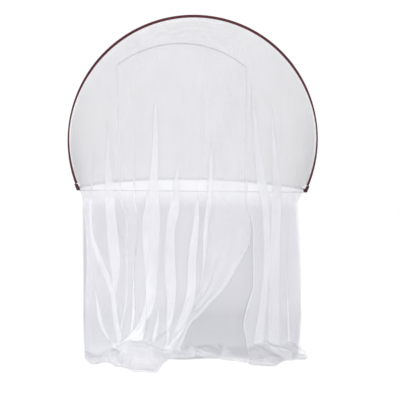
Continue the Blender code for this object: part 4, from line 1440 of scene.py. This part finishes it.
@dataclass
class Strap:
    """The webbing strap between the feet, with a crossed box of stitches beside each."""

    stitches: Stitching = field(default_factory=lambda: Stitching(0.0034, 0.0004))
    columns: int = 400
    rows: int = 25
    end_gap: float = 0.0005
    edge: float = 0.06
    edge_height: float = 0.62
    thickness_share: float = 0.6
    box_start: float = 0.020
    box_length: float = 0.022
    box_inset: float = 0.004
    box_order: tuple[int, ...] = (0, 1, 2, 3, 0, 2, 3, 1)

    def make(self) -> None:
        """Builds the strap in place of its CAD node."""
        low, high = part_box("tabletop_strap")
        size = high - low
        sides = np.linspace(low.y, high.y, self.rows)
        edge = np.clip(1 - np.abs(sides) / (size.y / 2), 0, self.edge) / self.edge
        x, y = np.meshgrid(np.linspace(low.x + self.end_gap, high.x - self.end_gap, self.columns), sides)
        z = low.z + size.z * (self.edge_height + (1 - self.edge_height) * np.sqrt(edge))[:, None] + 0 * x
        mesh = cloth_mesh("tabletop_strap", np.stack((x, y, z), axis=2)[::-1])
        piece = add_piece("tabletop_strap_webbing", mesh, Finish.WEBBING, FRONT_FRAME)
        solid = piece.modifiers.new("thickness", "SOLIDIFY")
        solid.thickness = size.z * self.thickness_share
        solid.offset = -1.0
        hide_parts("tabletop_strap")
        self.sew(high.z, low.x, high.x, size.y / 2 - self.box_inset)

    def sew(self, top: float, left: float, right: float, half: float) -> None:
        """Sews the crossed box of stitches beside each foot."""
        rows = []
        for end, inward in ((left, 1), (right, -1)):
            near = end + inward * self.box_start
            far = end + inward * (self.box_start + self.box_length)
            corners = ((near, -half, top), (far, -half, top), (far, half, top), (near, half, top))
            path = np.array([corners[k] for k in self.box_order])
            rows.append(self.stitches.row(path, np.tile((0.0, 0.0, 1.0), (len(path), 1))))
        self.stitches.make(
            "tabletop_strap_stitches", rows, Finish.WHITE_THREAD, FRONT_FRAME, "white_webbing"
        )


class Hardware:
    """Rods, feet, rivets and eyes, which keep their CAD shapes."""

    finishes = {
        "bow_rod": Finish.SPRING_STEEL,
        "base_rod": Finish.SPRING_STEEL,
        "foot_left": Finish.MOULDING,
        "foot_right": Finish.MOULDING,
        "hinge_rivet_left": Finish.ZINC,
        "hinge_rivet_right": Finish.ZINC,
        "hinge_eye_left": Finish.ZINC,
        "hinge_eye_right": Finish.ZINC,
    }

    def make(self) -> None:
        """Dresses each CAD node that stays."""
        for name, finish in self.finishes.items():
            WARDROBE.dress(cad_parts[name], finish)
            log.info("%s: dressed", name)


@dataclass(frozen=True)
class Side:
    """A side of the painted shade patch: its place, its soft edge's width, and its move per metre back and
    down.
    """

    place: float
    soft: float
    back: float = 0.0
    down: float = 0.0


@dataclass(frozen=True)
class PaperFinish:
    """Background paper of one brightness to the camera, less bright and bluer in a painted shade patch
    behind the skirt.
    """

    name: str
    glow: float
    floor_glow: float
    # Glow in the painted shade patch behind the skirt; None paints no patch.
    painted_shade_glow: float | None = None
    floor_turn: tuple[float, float] = (-0.72, -0.45)
    # Sides of the painted shade patch.
    left: Side = Side(-0.534, 0.015, -0.055)
    right: Side = Side(0.4945, 0.02, 0.21, 0.098)
    front: Side = Side(-0.352, 0.05)
    top: Side = Side(-0.075, 0.14)
    colour: Colour = (0.48, 0.48, 0.48)
    # Cool tint of the painted shade patch.
    painted_shade_tint: Colour = (0.82, 0.82, 1.0)

    def painted_shade_mask(self, paint: Paint) -> Signal:
        """1 in the painted shade patch behind the skirt and 0 elsewhere."""
        x, y, z = paint.parts(paint.coordinate("Object"))
        edges = []
        sides = ((self.left, x, 1), (self.right, x, -1), (self.front, y, 1), (self.top, z, -1))
        for side, at, inwards in sides:
            run = (at - y * side.back + z * side.down - side.place) * inwards
            edges.append(run.between(0.0, side.soft))
        return math.prod(edges[1:], start=edges[0])

    def make(self) -> bpy.types.Material:
        """Builds the material; it is clear from behind."""
        paint = Paint(self.name)
        height = paint.parts(paint.coordinate("Object"))[2]
        glow = self.floor_glow + (self.glow - self.floor_glow) * height.between(*self.floor_turn)
        tint = (1.0, 1.0, 1.0)
        # Painted shade: behind the skirt the glow drops and turns bluer.
        if self.painted_shade_glow is not None:
            painted_shade_mask = self.painted_shade_mask(paint)
            glow = glow + (self.painted_shade_glow - glow) * painted_shade_mask
            tint = paint.mix(painted_shade_mask, tint, self.painted_shade_tint)
        paint.surface(
            Base_Color=self.colour,
            Roughness=1.0,
            Specular_IOR_Level=0.0,
            Emission_Color=paint.mix(paint.seen() * glow, (0.0, 0.0, 0.0), tint),
            Emission_Strength=1.0,
        )
        clear = paint.node("ShaderNodeBsdfTransparent")
        behind = paint.node("ShaderNodeNewGeometry").outputs["Backfacing"]
        inputs = {0: behind, 1: paint.shader.outputs[0], 2: clear.outputs[0]}
        mixed = paint.node("ShaderNodeMixShader", None, inputs)
        paint.feed(paint.tree.nodes["Material Output"].inputs["Surface"], mixed.outputs[0])
        return paint.material


@dataclass(frozen=True)
class Softbox:
    """An area lamp: its place and target, its width and height, its power and its beam's angle."""

    name: str
    place: tuple[float, float, float]
    target: tuple[float, float, float]
    size: tuple[float, float]
    power: float
    spread: float = 180.0


@dataclass
class Studio:
    """The white paper sweep, the pale floor round it, the lamps and the camera."""

    eye: tuple[float, float, float] = (-0.324, -4.312, 0.719)
    pitch: float = 9.98
    yaw: float = 4.76
    roll: float = 1.31
    lens: float = 81.0
    sensor: float = 36.0
    floor_size: float = 30.0
    paper_left: float = -1.40
    paper_right: float = 1.60
    paper_front: float = -1.40
    paper_back: float = 0.62
    paper_top: float = 1.25
    cove: float = 0.30
    cove_steps: int = 24
    floor_drop: float = 0.002
    surround: float = 0.62
    ambient: float = 0.60
    lit: float = 0.28
    clear_bounces: int = 64
    lamps: tuple[Softbox, ...] = (
        Softbox("key_lamp", (-0.454, -5.997, 0.987), (0.0, -0.1, 0.05), (0.5, 0.5), 222.0),
        Softbox("low_lamp", (-0.40, -2.20, 1.00), (-0.28, -0.42, -0.70), (1.1, 0.4), 0.80, 50.0),
        Softbox("knot_lamp", (-0.28, -0.90, 1.20), (-0.28, -0.35, -0.66), (0.2, 0.2), 0.10, 14.0),
    )

    @staticmethod
    def stage_object(name: str, bm: bmesh.types.BMesh, finish: PaperFinish) -> None:
        """Puts a bmesh into the scene as part of the stage."""
        mesh = bpy.data.meshes.new(name)
        bm.to_mesh(mesh)
        bm.free()
        item = bpy.data.objects.new(name, mesh)
        bpy.context.scene.collection.objects.link(item)
        mesh.materials.append(finish.make())

    @staticmethod
    def far_edge(made: Sequence[object]) -> bmesh.types.BMEdge:
        """The edge that runs across the paper, among what an operator made."""
        edges = [part for part in made if isinstance(part, bmesh.types.BMEdge)]
        return max(edges, key=lambda edge: abs(edge.verts[0].co.x - edge.verts[1].co.x))

    def pull(self, bm: bmesh.types.BMesh, edge: bmesh.types.BMEdge, move: Vector) -> bmesh.types.BMEdge:
        """Pulls a flat strip out of an edge, and returns the strip's far edge."""
        made = bmesh.ops.extrude_edge_only(bm, edges=[edge])["geom"]
        corners = [part for part in made if isinstance(part, bmesh.types.BMVert)]
        bmesh.ops.translate(bm, verts=corners, vec=move)
        return self.far_edge(made)

    def make_paper(self) -> None:
        """The paper, which runs over the floor, up a cove and on up behind the tent."""
        floor = -DRAPE.drop
        hub = Vector((0, self.paper_back - self.cove, floor + self.cove))
        bm = bmesh.new()
        ends = [bm.verts.new((x, self.paper_front, floor)) for x in (self.paper_left, self.paper_right)]
        edge = self.pull(bm, bm.edges.new(ends), Vector((0, hub.y - self.paper_front, 0)))
        quarter = bmesh.ops.spin(
            bm, geom=[*edge.verts, edge], cent=hub, axis=(1, 0, 0), angle=math.pi / 2, steps=self.cove_steps
        )
        self.pull(bm, self.far_edge(quarter["geom_last"]), Vector((0, 0, self.paper_top - hub.z)))
        for face in bm.faces:
            face.smooth = True
            face.normal_update()
            if face.normal.dot(Vector((0, -1, 1))) < 0:
                face.normal_flip()
        # The paper's glow drops to 0.23 in its painted shade patch behind the skirt.
        finish = PaperFinish("white_paper", glow=0.56, floor_glow=0.72, painted_shade_glow=0.23)
        self.stage_object("paper", bm, finish)

    def make_floor(self) -> None:
        """The pale floor round the paper."""
        bm = bmesh.new()
        bmesh.ops.create_grid(bm, x_segments=1, y_segments=1, size=self.floor_size / 2)
        bmesh.ops.translate(bm, verts=bm.verts, vec=(0, 0, -DRAPE.drop - self.floor_drop))
        glow = self.surround - self.lit
        self.stage_object("floor", bm, PaperFinish("pale_floor", glow, glow))

    def make_world(self) -> None:
        """Even light all round, as pale as the floor where the camera sees it."""
        world = bpy.data.worlds.new("surroundings")
        bpy.context.scene.world = world
        world.use_nodes = True
        wiring = Wiring(world.node_tree)
        back = wiring.tree.nodes["Background"]
        wiring.feed(back.inputs["Color"], (1.0, 1.0, 1.0))
        strength = wiring.seen() * (self.surround - self.ambient) + self.ambient
        wiring.feed(back.inputs["Strength"], strength)

    def make_lamp(self, lamp: Softbox) -> None:
        """Puts an area lamp into the scene."""
        data = bpy.data.lights.new(lamp.name, "AREA")
        data.shape = "RECTANGLE"
        data.size, data.size_y = lamp.size
        data.spread = math.radians(lamp.spread)
        data.energy = lamp.power
        item = bpy.data.objects.new(lamp.name, data)
        bpy.context.scene.collection.objects.link(item)
        item.location = lamp.place
        away = Vector(lamp.target) - Vector(lamp.place)
        item.rotation_euler = away.to_track_quat("-Z", "Y").to_euler()

    def make_camera(self) -> None:
        """The camera at the photograph's place and angle."""
        data = bpy.data.cameras.new("camera")
        data.lens = self.lens
        data.sensor_width = self.sensor
        camera = bpy.data.objects.new("camera", data)
        bpy.context.scene.collection.objects.link(camera)
        pitch, yaw, roll = (math.radians(a) for a in (self.pitch, self.yaw, self.roll))
        level = Vector((math.sin(yaw), math.cos(yaw), 0))
        forward = level * math.cos(pitch) - Vector((0, 0, math.sin(pitch)))
        right = Vector((math.cos(yaw), -math.sin(yaw), 0))
        up = right.cross(forward)
        side = right * math.cos(roll) + up * math.sin(roll)
        top = up * math.cos(roll) - right * math.sin(roll)
        matrix = Matrix((side, top, -forward)).transposed().to_4x4()
        matrix.translation = Vector(self.eye)
        camera.matrix_world = matrix
        bpy.context.scene.camera = camera

    def make(self) -> None:
        """Sets up the studio."""
        scene = bpy.context.scene
        scene.view_settings.view_transform = "Standard"
        scene.cycles.transparent_max_bounces = self.clear_bounces
        self.make_paper()
        self.make_floor()
        self.make_world()
        for lamp in self.lamps:
            self.make_lamp(lamp)
        self.make_camera()


def upper_bow() -> BoundBow:
    """The upright bow's binding."""
    centre = (0, 0, DRAPE.bow_height)
    start = DRAPE.turn_at(BOW_TAPE_START)
    return BoundBow("bow_tape", FRONT_FRAME, DRAPE.bow_radius, centre, ((1, 0, 0), (0, 0, 1)), start)


def lower_bow(net: BackNetting) -> BoundBow:
    """The binding of the bow on the tabletop, whose lip points up to the back net."""
    centre = (0, net.centre_y, BASE_BOW_HEIGHT)
    return BoundBow(
        "base_tape", BASE_BOW, net.radius, centre, ((1, 0, 0), (0, 1, 0)), net.start(SOCKET_CLEARANCE),
        upright=True, finish=Finish.BINDING, thread=Finish.WHITE_THREAD, slot="white_seam_tape",
    )


def write_sizes() -> None:
    """Updates the view layer."""
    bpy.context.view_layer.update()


def main() -> None:
    """Builds the tent's looks and the studio round it."""
    logging.basicConfig(level=logging.INFO, format="%(name)s %(message)s")
    Hardware().make()
    back = BackNetting()
    upper_bow().make()
    lower_bow(back).make()
    Strap().make()
    FrontNetting().make()
    back.make()
    Studio().make()
    write_sizes()


if __name__ == "__main__":
    main()
